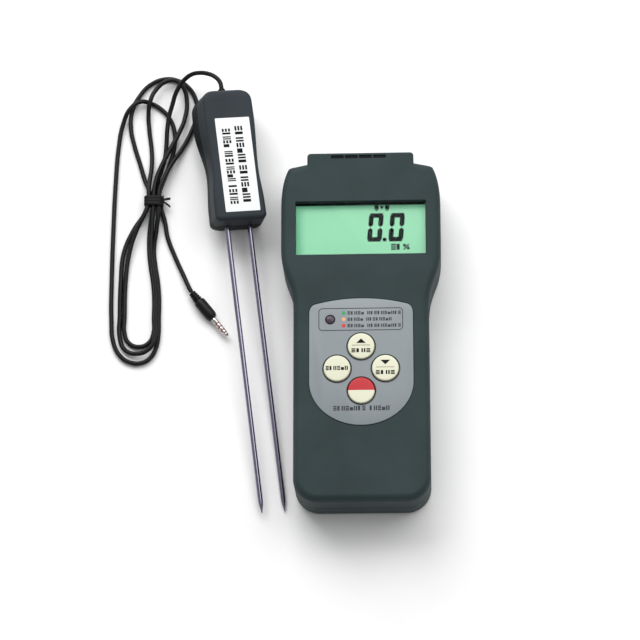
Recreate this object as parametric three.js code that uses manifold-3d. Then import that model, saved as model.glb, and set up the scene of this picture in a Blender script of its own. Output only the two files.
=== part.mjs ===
// A handheld moisture meter that lies on its back, beside its two-pin probe and the probe's tied lead.
// Millimetres, +Z up. The origin is the centre of the meter's flat back face, +Y points to its nose.
import * as THREE from "three";
import { mergeVertices } from "three/addons/utils/BufferGeometryUtils.js";
import Module from "manifold-3d";

const wasm = await Module();
wasm.setup();

// ---- Driving dimensions: the meter ----
const CASE_BOTTOM = -80; // Y of the end nearest the user
const CASE_TOP = 77.6; // Y of the shoulders' top, beside the nose
const NOSE_TOP = 82.2; // Y of the nose's end face
const THICK = 28;
const GRIP_HALF = 30.3;
const HEAD_HALF = 36;
const SHOULDER_HALF = 32.4;
const NOSE_HALF = 24.1;
const NOSE_RISE = 4; // the nose starts this far above the back
const NOSE_ROOT = 8; // how far the nose reaches into the case
const NOSE_EDGE = 1.2; // rounding of the nose's edges
const NOSE_CORNER = 1.6;
const GRIP_CORNER = 11;
const FLARE_START = 8; // Y where the grip begins to widen
const FLARE_END = 38; // Y where the head has its full width
const SHOULDER_BULGE = 57; // Y where the head begins to close in
const SHOULDER_PULL = 8; // the shoulder's curve aims this far below its top
const SHOULDER_DROP = 1.6;
const EDGE_DEEP = 4; // rounding of the case's long edges, along Z
const EDGE_IN = 3.2; // the same rounding, along X and Y
const INNER_EDGE_DEEP = 2;
const INNER_EDGE_IN = 1.6;
const WALL = 2;
const GAP = 0.3;
const SEAM_Z = 14;
const INSIDE_TOP = THICK - WALL;

// ---- Display ----
const VIEW = { half: 29.2, low: 33.8, high: 58.3 }; // the opening above the lens
const VIEW_FRAME = { half: 29.5, low: 33.4, high: 58.8 }; // the same opening at the face
const LENS = { half: 31.5, low: 31.8, high: 60.4, z0: 24.4, z1: INSIDE_TOP - GAP };
const LCD = { half: 30.6, low: 32.4, high: 59.4, z0: 22.4, z1: 24.1 };
const BACKLIGHT = { half: 31.5, low: 31.4, high: 60.4, z1: 22.1 };

// ---- Keypad ----
const PANEL_HALF = 23.1;
const PANEL_CORNER = { in: 2.7, low: 5, pull: 9, high: 9.8 }; // the arch's rounded ends
const PANEL_CROWN_Y = 12.45; // top of the panel's arch
const PANEL_CROWN_HALF = 10.5; // the arch's curve aims at this half width
const PANEL_STRAIGHT_END = -26;
const PANEL_BOTTOM = -46;
const PANEL_TOP_Z = THICK + 0.4;
const PANEL_SINK = 0.4;
const KEY_CENTRE_Y = -20.2;
const KEY_SPREAD_X = 10.7;
const KEY_SPREAD_Y = 10.2;
const KEY_R = 5.9;
const KEY_HOLE_R = 6.35;
const KEY_FLANGE_R = 7;
const KEY_FLANGE_LOW = 24.4;
const KEY_FLANGE_TOP = INSIDE_TOP - 0.4;
const DOME_R = 4.2; // the mat's dome below each key
const KEY_TOP_Z = THICK + 1.5;
const KEY_TRAVEL = 0.8;
const LED_X = -13.7;
const LED_Y = 2.6;
const LED_R = 2;

// ---- Board, cells, battery door ----
const BOARD_Z = 17.2;
const BOARD_THICK = 1.6;
const BOARD_TOP = BOARD_Z + BOARD_THICK;
const CELL_R = 5.25;
const CELL_BODY = 43.5;
const CELL_NUB = 1;
const CELL_PITCH = 10.8;
const CELL_Z = 7.6;
const BAY_HALF = 21.9;
const BAY_WALL_HALF = 24.3;
const BAY_LOW = -69;
const BAY_HIGH = -18;
const BAY_ROOF = 13;
const BAY_WALL = 1.4;
const DOOR_HALF = 21.2;
const DOOR_TONGUE = 1.4;
const DOOR_HIGH = -19;
const DOOR_THICK = 2.2;
const DOOR_SLOT_LOW = 1.1; // Z where the rails' slots begin
const CONTACT_THICK = 0.5;
const SPRING_LONG = 4.2;

// ---- Fasteners ----
const CASE_SCREW = { headR: 2.1, headHigh: 1.6, shankR: 1.1, long: 20, z: 1.2 };
const BOARD_SCREW = { headR: 1.8, headHigh: 1.2, shankR: 0.8, long: 7.5 };
const HANDLE_SCREW = { headR: 1.9, headHigh: 1.4, shankR: 0.9, long: 10.6, z: -6.7 };
const BACK_BOSS_R = 3.4;
const FRONT_BOSS_R = 2.6;
const BOARD_BOSS_R = 2.1;
const CASE_SCREW_HOLE_R = 1.4;
const HEAD_HOLE = { r: 2.45, deep: 3.1 };
const BOARD_SCREW_HOLE_R = 1.1;
const CASE_SCREWS = [
  [-29, 64.5],
  [29, 64.5],
  [-25.8, -66],
  [25.8, -66],
];
const BOARD_SCREWS = [
  [-27, 27.3],
  [27, 27.3],
  [-19.5, -58],
  [19.5, -58],
];

// ---- Jack ----
const JACK_X = 12;
const JACK_Z = 14.5;
const JACK_R = 2.6;
const JACK_BORE_R = 1.3;
const JACK_BODY = { halfX: 3.2, halfZ: 2.3, low: 61, high: 71 };

// ---- Driving dimensions: the probe ----
const HANDLE_LONG = 63.1;
const HANDLE_FRONT = 10; // the label face is flat, this far from the pins' plane
const PIN_R = 1.15;
const PIN_SPREAD = 5.2; // half the distance between the pins
const PIN_OUT = 134; // length outside the handle
const PIN_IN = 12;
const PROBE_FOOT = new THREE.Vector3(-56.45, 53.8, 11);
const PROBE_YAW = THREE.MathUtils.degToRad(7);
const PROBE_PITCH = THREE.MathUtils.degToRad(3.8);
const PROBE_ROLL = THREE.MathUtils.degToRad(14);
const BOOT_OUT = 3;
const SHELL = 2; // wall of the handle's shells
const PIN_HOLDER = { half: 7, low: 5, high: 14, halfZ: 3.6 };

// ---- Lead and plug ----
const LEAD_R = 1.05;
const LEAD_STEP = 8.5;
const TIE_LOW = 66;
const TIE_HIGH = 72;
const TIE = { wall: 0.8, bottom: 0.05, top: 6.3, insideBottom: 0.6, insideTop: 5.6 };
const HANK = { bottom: 0.9, top: 5.3, past: 1.5 }; // its ends stand this far past the tie
const BUNDLE_X = -96.2;
const BUNDLE_HALF = 3.5;
const PLUG_START = new THREE.Vector3(-78.2, 24.6, 2.75);
const PLUG_TURN = THREE.MathUtils.degToRad(-51.5); // direction of the plug in the XY plane
const PLUG_R = 1.25;

const colour = {
  case: 0x444d50,
  caseDark: 0x2f3535,
  panel: 0x9aa3a8,
  cream: 0xefefd6,
  red: 0xd83a3c,
  board: 0x2c6a43,
  metal: 0xb9bcc0,
  pin: 0x5a5670,
  lead: 0x1c1c1e,
  label: 0xf2f3f2,
  glass: 0xbfe8cf,
  lcd: 0x9ae8b8,
  cell: 0x3b5f96,
};

const part = new THREE.Group();

// ---- Solids: closed meshes that can be joined and cut ----
function toSolid(geometry) {
  const bare = new THREE.BufferGeometry();
  const source = geometry.index ? geometry.toNonIndexed() : geometry;
  bare.setAttribute("position", source.getAttribute("position"));
  const merged = mergeVertices(bare, 1e-4);
  const index = merged.index.array;
  const solidFrom = (turnRound) => {
    const kept = [];
    for (let i = 0; i < index.length; i += 3) {
      const [a, b, c] = [index[i], index[i + 1], index[i + 2]];
      if (a !== b && b !== c && c !== a) kept.push(a, ...(turnRound ? [c, b] : [b, c]));
    }
    const triVerts = new Uint32Array(kept);
    const vertProperties = merged.attributes.position.array;
    return new wasm.Manifold(new wasm.Mesh({ numProp: 3, vertProperties, triVerts }));
  };
  const solid = solidFrom(false);
  return solid.volume() > 0 ? solid : solidFrom(true);
}

function toGeometry(solid) {
  const mesh = solid.getMesh();
  const geometry = new THREE.BufferGeometry();
  geometry.setAttribute(
    "position",
    new THREE.BufferAttribute(new Float32Array(mesh.vertProperties), 3),
  );
  geometry.setIndex(new THREE.BufferAttribute(new Uint32Array(mesh.triVerts), 1));
  geometry.computeVertexNormals();
  return geometry;
}

const join = (first, ...rest) => rest.reduce((a, b) => a.add(b), first);
const cut = (first, ...rest) => rest.reduce((a, b) => a.subtract(b), first);

function place(name, solid, color, { metalness = 0, roughness = 0.6, to = part } = {}) {
  const material = new THREE.MeshStandardMaterial({ color, metalness, roughness });
  const mesh = new THREE.Mesh(toGeometry(solid), material);
  mesh.name = name;
  to.add(mesh);
  return mesh;
}

function block(x0, x1, y0, y1, z0, z1) {
  const geometry = new THREE.BoxGeometry(x1 - x0, y1 - y0, z1 - z0);
  geometry.translate((x0 + x1) / 2, (y0 + y1) / 2, (z0 + z1) / 2);
  return toSolid(geometry);
}

// A round bar along Z.
function post(x, y, z0, z1, r, sides = 20) {
  const geometry = new THREE.CylinderGeometry(r, r, z1 - z0, sides);
  geometry.rotateX(Math.PI / 2);
  geometry.translate(x, y, (z0 + z1) / 2);
  return toSolid(geometry);
}

// A round bar along Y.
function bar(x, z, y0, y1, r, sides = 16) {
  const geometry = new THREE.CylinderGeometry(r, r, y1 - y0, sides);
  geometry.translate(x, (y0 + y1) / 2, z);
  return toSolid(geometry);
}

// A turned piece: [radius, Y] pairs that start and end on the axis, spun about Y.
function turned(profile, sides = 16) {
  const points = profile.map(([r, y]) => new THREE.Vector2(r, y));
  return toSolid(new THREE.LatheGeometry(points, sides));
}

function slab(shape, z0, z1, curveSegments = 8) {
  const geometry = new THREE.ExtrudeGeometry(shape, {
    depth: z1 - z0,
    bevelEnabled: false,
    curveSegments,
  });
  geometry.translate(0, 0, z0);
  return toSolid(geometry);
}

function roundedRect(x0, x1, y0, y1, r) {
  const shape = new THREE.Shape();
  shape.moveTo(x0 + r, y0);
  shape.lineTo(x1 - r, y0);
  shape.absarc(x1 - r, y0 + r, r, -Math.PI / 2, 0);
  shape.lineTo(x1, y1 - r);
  shape.absarc(x1 - r, y1 - r, r, 0, Math.PI / 2);
  shape.lineTo(x0 + r, y1);
  shape.absarc(x0 + r, y1 - r, r, Math.PI / 2, Math.PI);
  shape.lineTo(x0, y0 + r);
  shape.absarc(x0 + r, y0 + r, r, Math.PI, Math.PI * 1.5);
  return shape;
}

// A closed skin over a row of rings that all have the same number of points.
function loft(rings) {
  const count = rings[0].length;
  const corners = [];
  const triangle = (a, b, c) => corners.push(...a, ...b, ...c);
  for (let i = 0; i + 1 < rings.length; i++)
    for (let j = 0; j < count; j++) {
      const k = (j + 1) % count;
      triangle(rings[i][j], rings[i][k], rings[i + 1][k]);
      triangle(rings[i][j], rings[i + 1][k], rings[i + 1][j]);
    }
  const first = rings[0];
  const last = rings[rings.length - 1];
  for (let j = 1; j + 1 < count; j++) {
    triangle(first[0], first[j + 1], first[j]);
    triangle(last[0], last[j], last[j + 1]);
  }
  const geometry = new THREE.BufferGeometry();
  geometry.setAttribute("position", new THREE.Float32BufferAttribute(corners, 3));
  return toSolid(geometry);
}

// A round bar along a smooth curve through the points.
function tube(points, r, { sides = 8, step = LEAD_STEP } = {}) {
  const curve = new THREE.CatmullRomCurve3(points.map((p) => new THREE.Vector3(...p)));
  const circle = new THREE.Shape();
  circle.absarc(0, 0, r, 0, Math.PI * 2);
  const geometry = new THREE.ExtrudeGeometry(circle, {
    steps: Math.ceil(curve.getLength() / step),
    extrudePath: curve,
    curveSegments: sides / 2,
  });
  return toSolid(geometry);
}

// ---- The case ----
function caseOutline(inset) {
  const grip = GRIP_HALF - inset;
  const head = HEAD_HALF - inset;
  const shoulder = SHOULDER_HALF - inset;
  const bottom = CASE_BOTTOM + inset;
  const top = CASE_TOP - inset;
  const r = GRIP_CORNER - inset;
  const mid = (FLARE_START + FLARE_END) / 2;
  const shape = new THREE.Shape();
  shape.moveTo(-grip + r, bottom);
  shape.lineTo(grip - r, bottom);
  shape.absarc(grip - r, bottom + r, r, -Math.PI / 2, 0);
  shape.lineTo(grip, FLARE_START);
  shape.bezierCurveTo(grip, mid, head, mid, head, FLARE_END);
  shape.lineTo(head, SHOULDER_BULGE);
  shape.quadraticCurveTo(head, top - SHOULDER_PULL, shoulder, top - SHOULDER_DROP);
  shape.lineTo(NOSE_HALF - inset, top);
  shape.lineTo(-NOSE_HALF + inset, top);
  shape.lineTo(-shoulder, top - SHOULDER_DROP);
  shape.quadraticCurveTo(-head, top - SHOULDER_PULL, -head, SHOULDER_BULGE);
  shape.lineTo(-head, FLARE_END);
  shape.bezierCurveTo(-head, mid, -grip, mid, -grip, FLARE_START);
  shape.lineTo(-grip, bottom + r);
  shape.absarc(-grip + r, bottom + r, r, Math.PI, Math.PI * 1.5);
  return shape;
}

// The case as one block, inset all round; its long edges are rounded.
function caseBlock(inset, edgeDeep, edgeIn) {
  const geometry = new THREE.ExtrudeGeometry(caseOutline(inset), {
    depth: THICK - 2 * inset - 2 * edgeDeep,
    bevelThickness: edgeDeep,
    bevelSize: edgeIn,
    bevelOffset: -edgeIn,
    bevelSegments: 2,
    curveSegments: 5,
  });
  geometry.translate(0, 0, inset + edgeDeep);
  return toSolid(geometry);
}

// The nose: a low block on the far end, flush with the display's face.
function noseBlock() {
  const shape = roundedRect(-NOSE_HALF, NOSE_HALF, CASE_TOP - NOSE_ROOT, NOSE_TOP, NOSE_CORNER);
  const geometry = new THREE.ExtrudeGeometry(shape, {
    depth: THICK - NOSE_RISE - 2 * NOSE_EDGE,
    bevelThickness: NOSE_EDGE,
    bevelSize: NOSE_EDGE,
    bevelOffset: -NOSE_EDGE,
    bevelSegments: 2,
    curveSegments: 3,
  });
  geometry.translate(0, 0, NOSE_RISE + NOSE_EDGE);
  return toSolid(geometry);
}

const caseOuter = join(caseBlock(0, EDGE_DEEP, EDGE_IN), noseBlock());
const caseInner = caseBlock(WALL, INNER_EDGE_DEEP, INNER_EDGE_IN);
const FAR = 200; // beyond everything
const above = (z) => block(-FAR, FAR, -FAR, FAR, z, FAR);
const below = (z) => block(-FAR, FAR, -FAR, FAR, -FAR, z);

const END_PLATE = { half: 21, low: 7.5, high: 22 };
const endSlot = block(
  -END_PLATE.half,
  END_PLATE.half,
  CASE_TOP - WALL - 1,
  NOSE_TOP + 1,
  END_PLATE.low,
  END_PLATE.high,
);

const keys = [
  { name: "key_up", x: 0, y: KEY_CENTRE_Y + KEY_SPREAD_Y, color: colour.cream },
  { name: "key_select", x: -KEY_SPREAD_X, y: KEY_CENTRE_Y, color: colour.cream },
  { name: "key_down", x: KEY_SPREAD_X, y: KEY_CENTRE_Y, color: colour.cream },
  { name: "key_power", x: 0, y: KEY_CENTRE_Y - KEY_SPREAD_Y, color: colour.red },
];

function panelOutline(grow) {
  const half = PANEL_HALF + grow;
  const crown = PANEL_CROWN_Y + grow;
  const bottom = PANEL_BOTTOM - grow;
  const corner = half - PANEL_CORNER.in;
  const shape = new THREE.Shape();
  shape.moveTo(half, PANEL_STRAIGHT_END);
  shape.lineTo(half, PANEL_CORNER.low);
  shape.quadraticCurveTo(half, PANEL_CORNER.pull, corner, PANEL_CORNER.high + grow);
  shape.quadraticCurveTo(PANEL_CROWN_HALF, crown, 0, crown);
  shape.quadraticCurveTo(-PANEL_CROWN_HALF, crown, -corner, PANEL_CORNER.high + grow);
  shape.quadraticCurveTo(-half, PANEL_CORNER.pull, -half, PANEL_CORNER.low);
  shape.lineTo(-half, PANEL_STRAIGHT_END);
  const reach = PANEL_STRAIGHT_END - bottom;
  shape.absellipse(0, PANEL_STRAIGHT_END, half, reach, Math.PI, Math.PI * 2);
  return shape;
}

function buildFrontCover() {
  let cover = caseOuter.intersect(above(SEAM_Z));
  cover = cut(cover, caseInner, endSlot);
  for (const [x, y] of CASE_SCREWS)
    cover = cut(
      join(cover, post(x, y, SEAM_Z, INSIDE_TOP + WALL / 2, FRONT_BOSS_R, 12)),
      post(x, y, SEAM_Z - 1, INSIDE_TOP - 3, CASE_SCREW_HOLE_R, 12),
    );
  for (const [x, y] of BOARD_SCREWS)
    cover = cut(
      join(cover, post(x, y, BOARD_TOP + GAP, INSIDE_TOP + WALL / 2, BOARD_BOSS_R, 12)),
      post(x, y, BOARD_TOP, INSIDE_TOP - 2, BOARD_SCREW_HOLE_R, 12),
    );
  const { half, low, high } = VIEW_FRAME;
  const ring = (h, l, t, z) => [
    [-h, l, z],
    [h, l, z],
    [h, t, z],
    [-h, t, z],
  ];
  const aperture = loft([
    ring(VIEW.half, VIEW.low, VIEW.high, INSIDE_TOP - 0.5),
    ring(VIEW.half, VIEW.low, VIEW.high, INSIDE_TOP + 0.3),
    ring(half, low, high, THICK),
    ring(half, low, high, THICK + 1),
  ]);
  cover = cut(cover, aperture);
  cover = cut(cover, slab(panelOutline(GAP), THICK - PANEL_SINK, THICK + 1, 6));
  for (const { x, y } of keys)
    cover = cut(cover, post(x, y, INSIDE_TOP - 1, THICK + 1, KEY_HOLE_R, 24));
  cover = cut(cover, post(LED_X, LED_Y, INSIDE_TOP - 1, THICK + 1, LED_R + GAP, 16));
  place("front_cover", cover, colour.case);
}

function buildBackCover() {
  let cover = cut(caseOuter.intersect(below(SEAM_Z - GAP)), caseInner);
  const bay = block(
    -BAY_WALL_HALF,
    BAY_WALL_HALF,
    BAY_LOW - BAY_WALL,
    BAY_HIGH + BAY_WALL,
    WALL / 2,
    SEAM_Z - GAP,
  );
  for (const [x, y] of CASE_SCREWS)
    cover = join(cover, post(x, y, WALL / 2, SEAM_Z - GAP, BACK_BOSS_R, 12).intersect(caseOuter));
  cover = join(cover, bay);
  cover = cut(cover, block(-BAY_HALF, BAY_HALF, BAY_LOW, BAY_HIGH, -1, BAY_ROOF));
  for (const [x, y] of CASE_SCREWS)
    cover = cut(
      cover,
      post(x, y, -1, HEAD_HOLE.deep, HEAD_HOLE.r, 12),
      post(x, y, 0, SEAM_Z + 1, CASE_SCREW_HOLE_R, 12),
    );
  const low = CASE_BOTTOM - 1;
  const high = DOOR_HIGH + GAP;
  const slot = DOOR_HALF + GAP;
  cover = cut(
    cover,
    endSlot,
    block(-slot, slot, low, high, -1, DOOR_THICK + GAP),
    block(-slot - DOOR_TONGUE, slot + DOOR_TONGUE, low, high, DOOR_SLOT_LOW, DOOR_THICK + GAP),
  );
  place("back_cover", cover, colour.case);
}

function buildBatteryDoor() {
  const low = CASE_BOTTOM - 1;
  const plate = block(-DOOR_HALF, DOOR_HALF, low, DOOR_HIGH, 0, DOOR_THICK);
  const rails = block(
    -DOOR_HALF - DOOR_TONGUE,
    DOOR_HALF + DOOR_TONGUE,
    low,
    DOOR_HIGH,
    DOOR_SLOT_LOW + GAP,
    DOOR_THICK,
  );
  place("battery_door", join(plate, rails).intersect(caseOuter), colour.case);
}

// The plate in the nose's end, held by a flange behind the case's wall, with the jack's hole.
function buildEndPlate() {
  const { half, low, high } = END_PLATE;
  const wallInside = CASE_TOP - WALL;
  const plate = block(
    -half + GAP,
    half - GAP,
    wallInside - 1,
    NOSE_TOP - 0.4,
    low + GAP,
    high - GAP,
  );
  const flange = block(-half - 1, half + 1, wallInside - 1.5, wallInside - GAP, low - 1, high + 1);
  const hole = bar(JACK_X, JACK_Z, JACK_BODY.low, NOSE_TOP + 1, JACK_R + GAP);
  place("end_plate", cut(join(plate, flange), hole), colour.caseDark);
}

function buildJack() {
  const { halfX, halfZ, low, high } = JACK_BODY;
  const body = block(JACK_X - halfX, JACK_X + halfX, low, high, JACK_Z - halfZ, JACK_Z + halfZ);
  const collar = bar(JACK_X, JACK_Z, high - 1, NOSE_TOP - 0.1, JACK_R);
  const bore = bar(JACK_X, JACK_Z, low + 3, NOSE_TOP + 1, JACK_BORE_R, 12);
  place("jack_socket", cut(join(body, collar), bore), colour.caseDark);
}

// ---- Display and keypad ----
function buildDisplay() {
  const layer = ({ half, low, high, z0 = BOARD_TOP + GAP, z1 }) =>
    block(-half, half, low, high, z0, z1);
  place("window_lens", layer(LENS), colour.glass, { roughness: 0.1 });
  place("lcd_glass", layer(LCD), colour.lcd, { roughness: 0.3 });
  place("lcd_backlight", layer(BACKLIGHT), colour.label);
}

function buildPanel() {
  let panel = slab(panelOutline(0), THICK - PANEL_SINK + 0.1, PANEL_TOP_Z, 6);
  for (const { x, y } of keys)
    panel = cut(panel, post(x, y, THICK - 2, THICK + 2, KEY_HOLE_R, 24));
  panel = cut(panel, post(LED_X, LED_Y, THICK - 2, THICK + 2, LED_R + GAP, 16));
  place("keypad_panel", panel, colour.panel);
}

function buildKeys() {
  for (const { name, x, y, color } of keys) {
    const flange = post(x, y, KEY_FLANGE_LOW, KEY_FLANGE_TOP, KEY_FLANGE_R, 24);
    const cap = post(x, y, KEY_FLANGE_LOW, KEY_TOP_Z, KEY_R, 24);
    place(name, join(flange, cap), color);
  }
}

// The rubber mat has one dome below each key, with room for the key's travel.
function buildKeyMat() {
  const sheet = BOARD_TOP + GAP;
  const sheetTop = sheet + 1;
  const domeTop = KEY_FLANGE_LOW - KEY_TRAVEL - 0.2;
  const half = 17.2;
  let mat = block(-half, half, KEY_CENTRE_Y - half, KEY_CENTRE_Y + half, sheet, sheetTop);
  for (const { x, y } of keys)
    mat = join(mat, post(x, y, sheetTop - 0.5, domeTop, DOME_R, 16));
  place("key_mat", mat, colour.caseDark);
}

function buildIndicator() {
  const profile = [
    [0, BOARD_TOP + GAP],
    [LED_R, BOARD_TOP + GAP],
    [LED_R, THICK + 0.1],
    [LED_R * 0.7, THICK + 0.7],
    [0, THICK + 0.9],
  ];
  const led = turned(profile, 14).rotate([90, 0, 0]).translate([LED_X, LED_Y, 0]);
  place("indicator_led", led, colour.caseDark);
}

function buildBoard() {
  const shape = new THREE.Shape();
  const corners = [
    [22.6, -63],
    [22.6, 12],
    [30, 24],
    [30, 60],
    [24, 60],
    [24, 71],
  ];
  shape.moveTo(-corners[0][0], corners[0][1]);
  for (const [x, y] of corners) shape.lineTo(x, y);
  for (const [x, y] of [...corners].reverse()) shape.lineTo(-x, y);
  let board = slab(shape, BOARD_Z, BOARD_TOP);
  for (const [x, y] of BOARD_SCREWS)
    board = cut(board, post(x, y, BOARD_Z - 1, BOARD_TOP + 1, 1.2, 12));
  place("main_board", board, colour.board);
}

// ---- Screws ----
// A pan-head screw that points up, with a cross slot in its head.
function screw({ headR, headHigh, shankR, long }, sides = 12) {
  const profile = [
    [0, 0],
    [headR * 0.8, 0],
    [headR, headHigh * 0.35],
    [headR, headHigh],
    [shankR, headHigh],
    [shankR, long - shankR],
    [0, long],
  ];
  const body = turned(profile, sides).rotate([90, 0, 0]);
  const arm = headR * 0.6;
  const slotHalf = headR * 0.12;
  const deep = headHigh * 0.6;
  return cut(
    body,
    block(-arm, arm, -slotHalf, slotHalf, -1, deep),
    block(-slotHalf, slotHalf, -arm, arm, -1, deep),
  );
}

function buildScrews() {
  const metal = { metalness: 1, roughness: 0.35 };
  CASE_SCREWS.forEach(([x, y], i) => {
    const one = screw(CASE_SCREW).translate([x, y, CASE_SCREW.z]);
    place("case_screw_" + (i + 1), one, colour.metal, metal);
  });
  BOARD_SCREWS.forEach(([x, y], i) => {
    const one = screw(BOARD_SCREW).translate([x, y, BOARD_Z - GAP - BOARD_SCREW.headHigh]);
    place("board_screw_" + (i + 1), one, colour.metal, metal);
  });
}

// ---- Cells and contacts ----
// Cells 1 and 3 point to the nose, cells 2 and 4 away from it.
const cells = [-1.5, -0.5, 0.5, 1.5].map((n, i) => ({
  name: "cell_" + (i + 1),
  x: n * CELL_PITCH,
  toNose: i % 2 === 0,
}));
const PLATE_LOW = BAY_LOW + GAP; // outer face of the contacts at the case's end
const PLATE_HIGH = BAY_HIGH - GAP;

function buildCells() {
  const profile = [
    [0, 0],
    [CELL_R - 0.4, 0],
    [CELL_R, 0.4],
    [CELL_R, CELL_BODY - 0.5],
    [CELL_R - 0.5, CELL_BODY],
    [1.9, CELL_BODY],
    [1.9, CELL_BODY + CELL_NUB],
    [0, CELL_BODY + CELL_NUB],
  ];
  for (const { name, x, toNose } of cells) {
    const touch = CONTACT_THICK + GAP;
    const long = CELL_BODY + CELL_NUB;
    const base = toNose ? PLATE_HIGH - touch - long : PLATE_LOW + touch + long;
    const turn = toNose ? 0 : 180;
    const cell = turned(profile, 18).rotate([turn, 0, 0]).translate([x, base, CELL_Z]);
    place(name, cell, colour.cell, { metalness: 0.4, roughness: 0.4 });
  }
}

// A coned spring that stands on a contact plate and points along +Y.
function contactSpring() {
  const turns = 3;
  const pointsPerTurn = 8;
  const points = [];
  for (let i = 0; i <= turns * pointsPerTurn; i++) {
    const share = i / (turns * pointsPerTurn);
    const angle = share * turns * Math.PI * 2;
    const r = THREE.MathUtils.lerp(3.6, 1.8, share);
    points.push([r * Math.cos(angle), share * SPRING_LONG, r * Math.sin(angle)]);
  }
  return tube(points, 0.3, { sides: 4, step: 2.2 });
}

// One plate behind one cell or two, with a spring where a cell's flat end meets it.
function contact(name, members, atNose) {
  const half = 4;
  const x0 = Math.min(...members.map((c) => c.x)) - half;
  const x1 = Math.max(...members.map((c) => c.x)) + half;
  const y0 = atNose ? PLATE_HIGH - CONTACT_THICK : PLATE_LOW;
  let piece = block(x0, x1, y0, y0 + CONTACT_THICK, CELL_Z - half, CELL_Z + half);
  for (const { x } of members.filter((c) => c.toNose !== atNose)) {
    const spring = atNose ? contactSpring().rotate([180, 0, 0]) : contactSpring();
    const face = atNose ? y0 + 0.2 : y0 + CONTACT_THICK - 0.2;
    piece = join(piece, spring.translate([x, face, CELL_Z]));
  }
  place(name, piece, colour.metal, { metalness: 1, roughness: 0.3 });
}

function buildContacts() {
  const [one, two, three, four] = cells;
  contact("contact_rear_left", [one, two], false);
  contact("contact_rear_right", [three, four], false);
  contact("contact_front_left", [one], true);
  contact("contact_front_middle", [two, three], true);
  contact("contact_front_right", [four], true);
}

// ---- The probe: its group's origin is the middle of the handle's foot, +Y runs up the handle ----
const probe = new THREE.Group();
probe.position.copy(PROBE_FOOT);
probe.rotation.set(PROBE_PITCH, PROBE_ROLL, PROBE_YAW, "ZXY");
part.add(probe);

// The handle narrows at its waist. Its back is wider than its front by the flare on each side.
const HANDLE_STATIONS = [
  // share of the length, half width at the back, depth behind the pins' plane, flare
  [0, 12.2, 9.5, 0.3],
  [0.12, 12.1, 9.5, 0.3],
  [0.38, 11.2, 8.5, 0.4],
  [0.78, 13.9, 12.5, 2.2],
  [1, 13.7, 12.3, 2.2],
];

function handleSize(share) {
  let i = 1;
  while (i < HANDLE_STATIONS.length - 1 && HANDLE_STATIONS[i][0] < share) i++;
  const [s0, ...from] = HANDLE_STATIONS[i - 1];
  const [s1, ...to] = HANDLE_STATIONS[i];
  const t = THREE.MathUtils.smoothstep(share, s0, s1);
  const [width, depth, flare] = from.map((value, k) => THREE.MathUtils.lerp(value, to[k], t));
  return { width, depth, flare };
}

// How far a rounded end of radius r draws in, at the distance d from its tip.
const endInset = (d, r) => (d >= r ? 0 : r - Math.sqrt(Math.max(0, r * r - (r - d) ** 2)));

function handleRing(y, inset) {
  const { width, depth, flare } = handleSize(y / HANDLE_LONG);
  const fromTop = HANDLE_LONG - inset - y;
  const fromFoot = y - inset;
  const half = width - inset - endInset(fromTop, 6) - endInset(fromFoot, 2.5);
  const front = HANDLE_FRONT - inset - endInset(fromTop, 4) - endInset(fromFoot, 2);
  const back = depth - inset - endInset(fromTop, 5) - endInset(fromFoot, 2.5);
  const backR = Math.min(5, half * 0.9);
  const frontR = 1.7;
  const corners = [
    { x: half, z: -back, r: backR, from: -90 },
    { x: half - flare, z: front, r: frontR, from: 0 },
    { x: -half + flare, z: front, r: frontR, from: 90 },
    { x: -half, z: -back, r: backR, from: 180 },
  ];
  const ring = [];
  for (const { x, z, r, from } of corners)
    for (const step of [0, 1, 2, 3]) {
      const angle = THREE.MathUtils.degToRad(from + step * 30);
      const cx = x - Math.sign(x) * r;
      const cz = z - Math.sign(z) * r;
      ring.push([cx + r * Math.cos(angle), y, cz + r * Math.sin(angle)]);
    }
  return ring;
}

function handleBlock(inset) {
  const ends = [0.02, 0.5, 1.4, 2.5];
  const rows = [...ends.map((d) => inset + d)];
  for (let share = 0.1; share < 0.9; share += 0.1) rows.push(share * HANDLE_LONG);
  rows.push(...[6, 3.6, 1.6, 0.5, 0.02].map((d) => HANDLE_LONG - inset - d));
  return loft(rows.map((y) => handleRing(y, inset)));
}

const HANDLE_SCREWS = [22, 50]; // Y of each
const LABEL = { x: 1, half: 8, low: 3.7, high: 48.6, sink: 0.3 };

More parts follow.
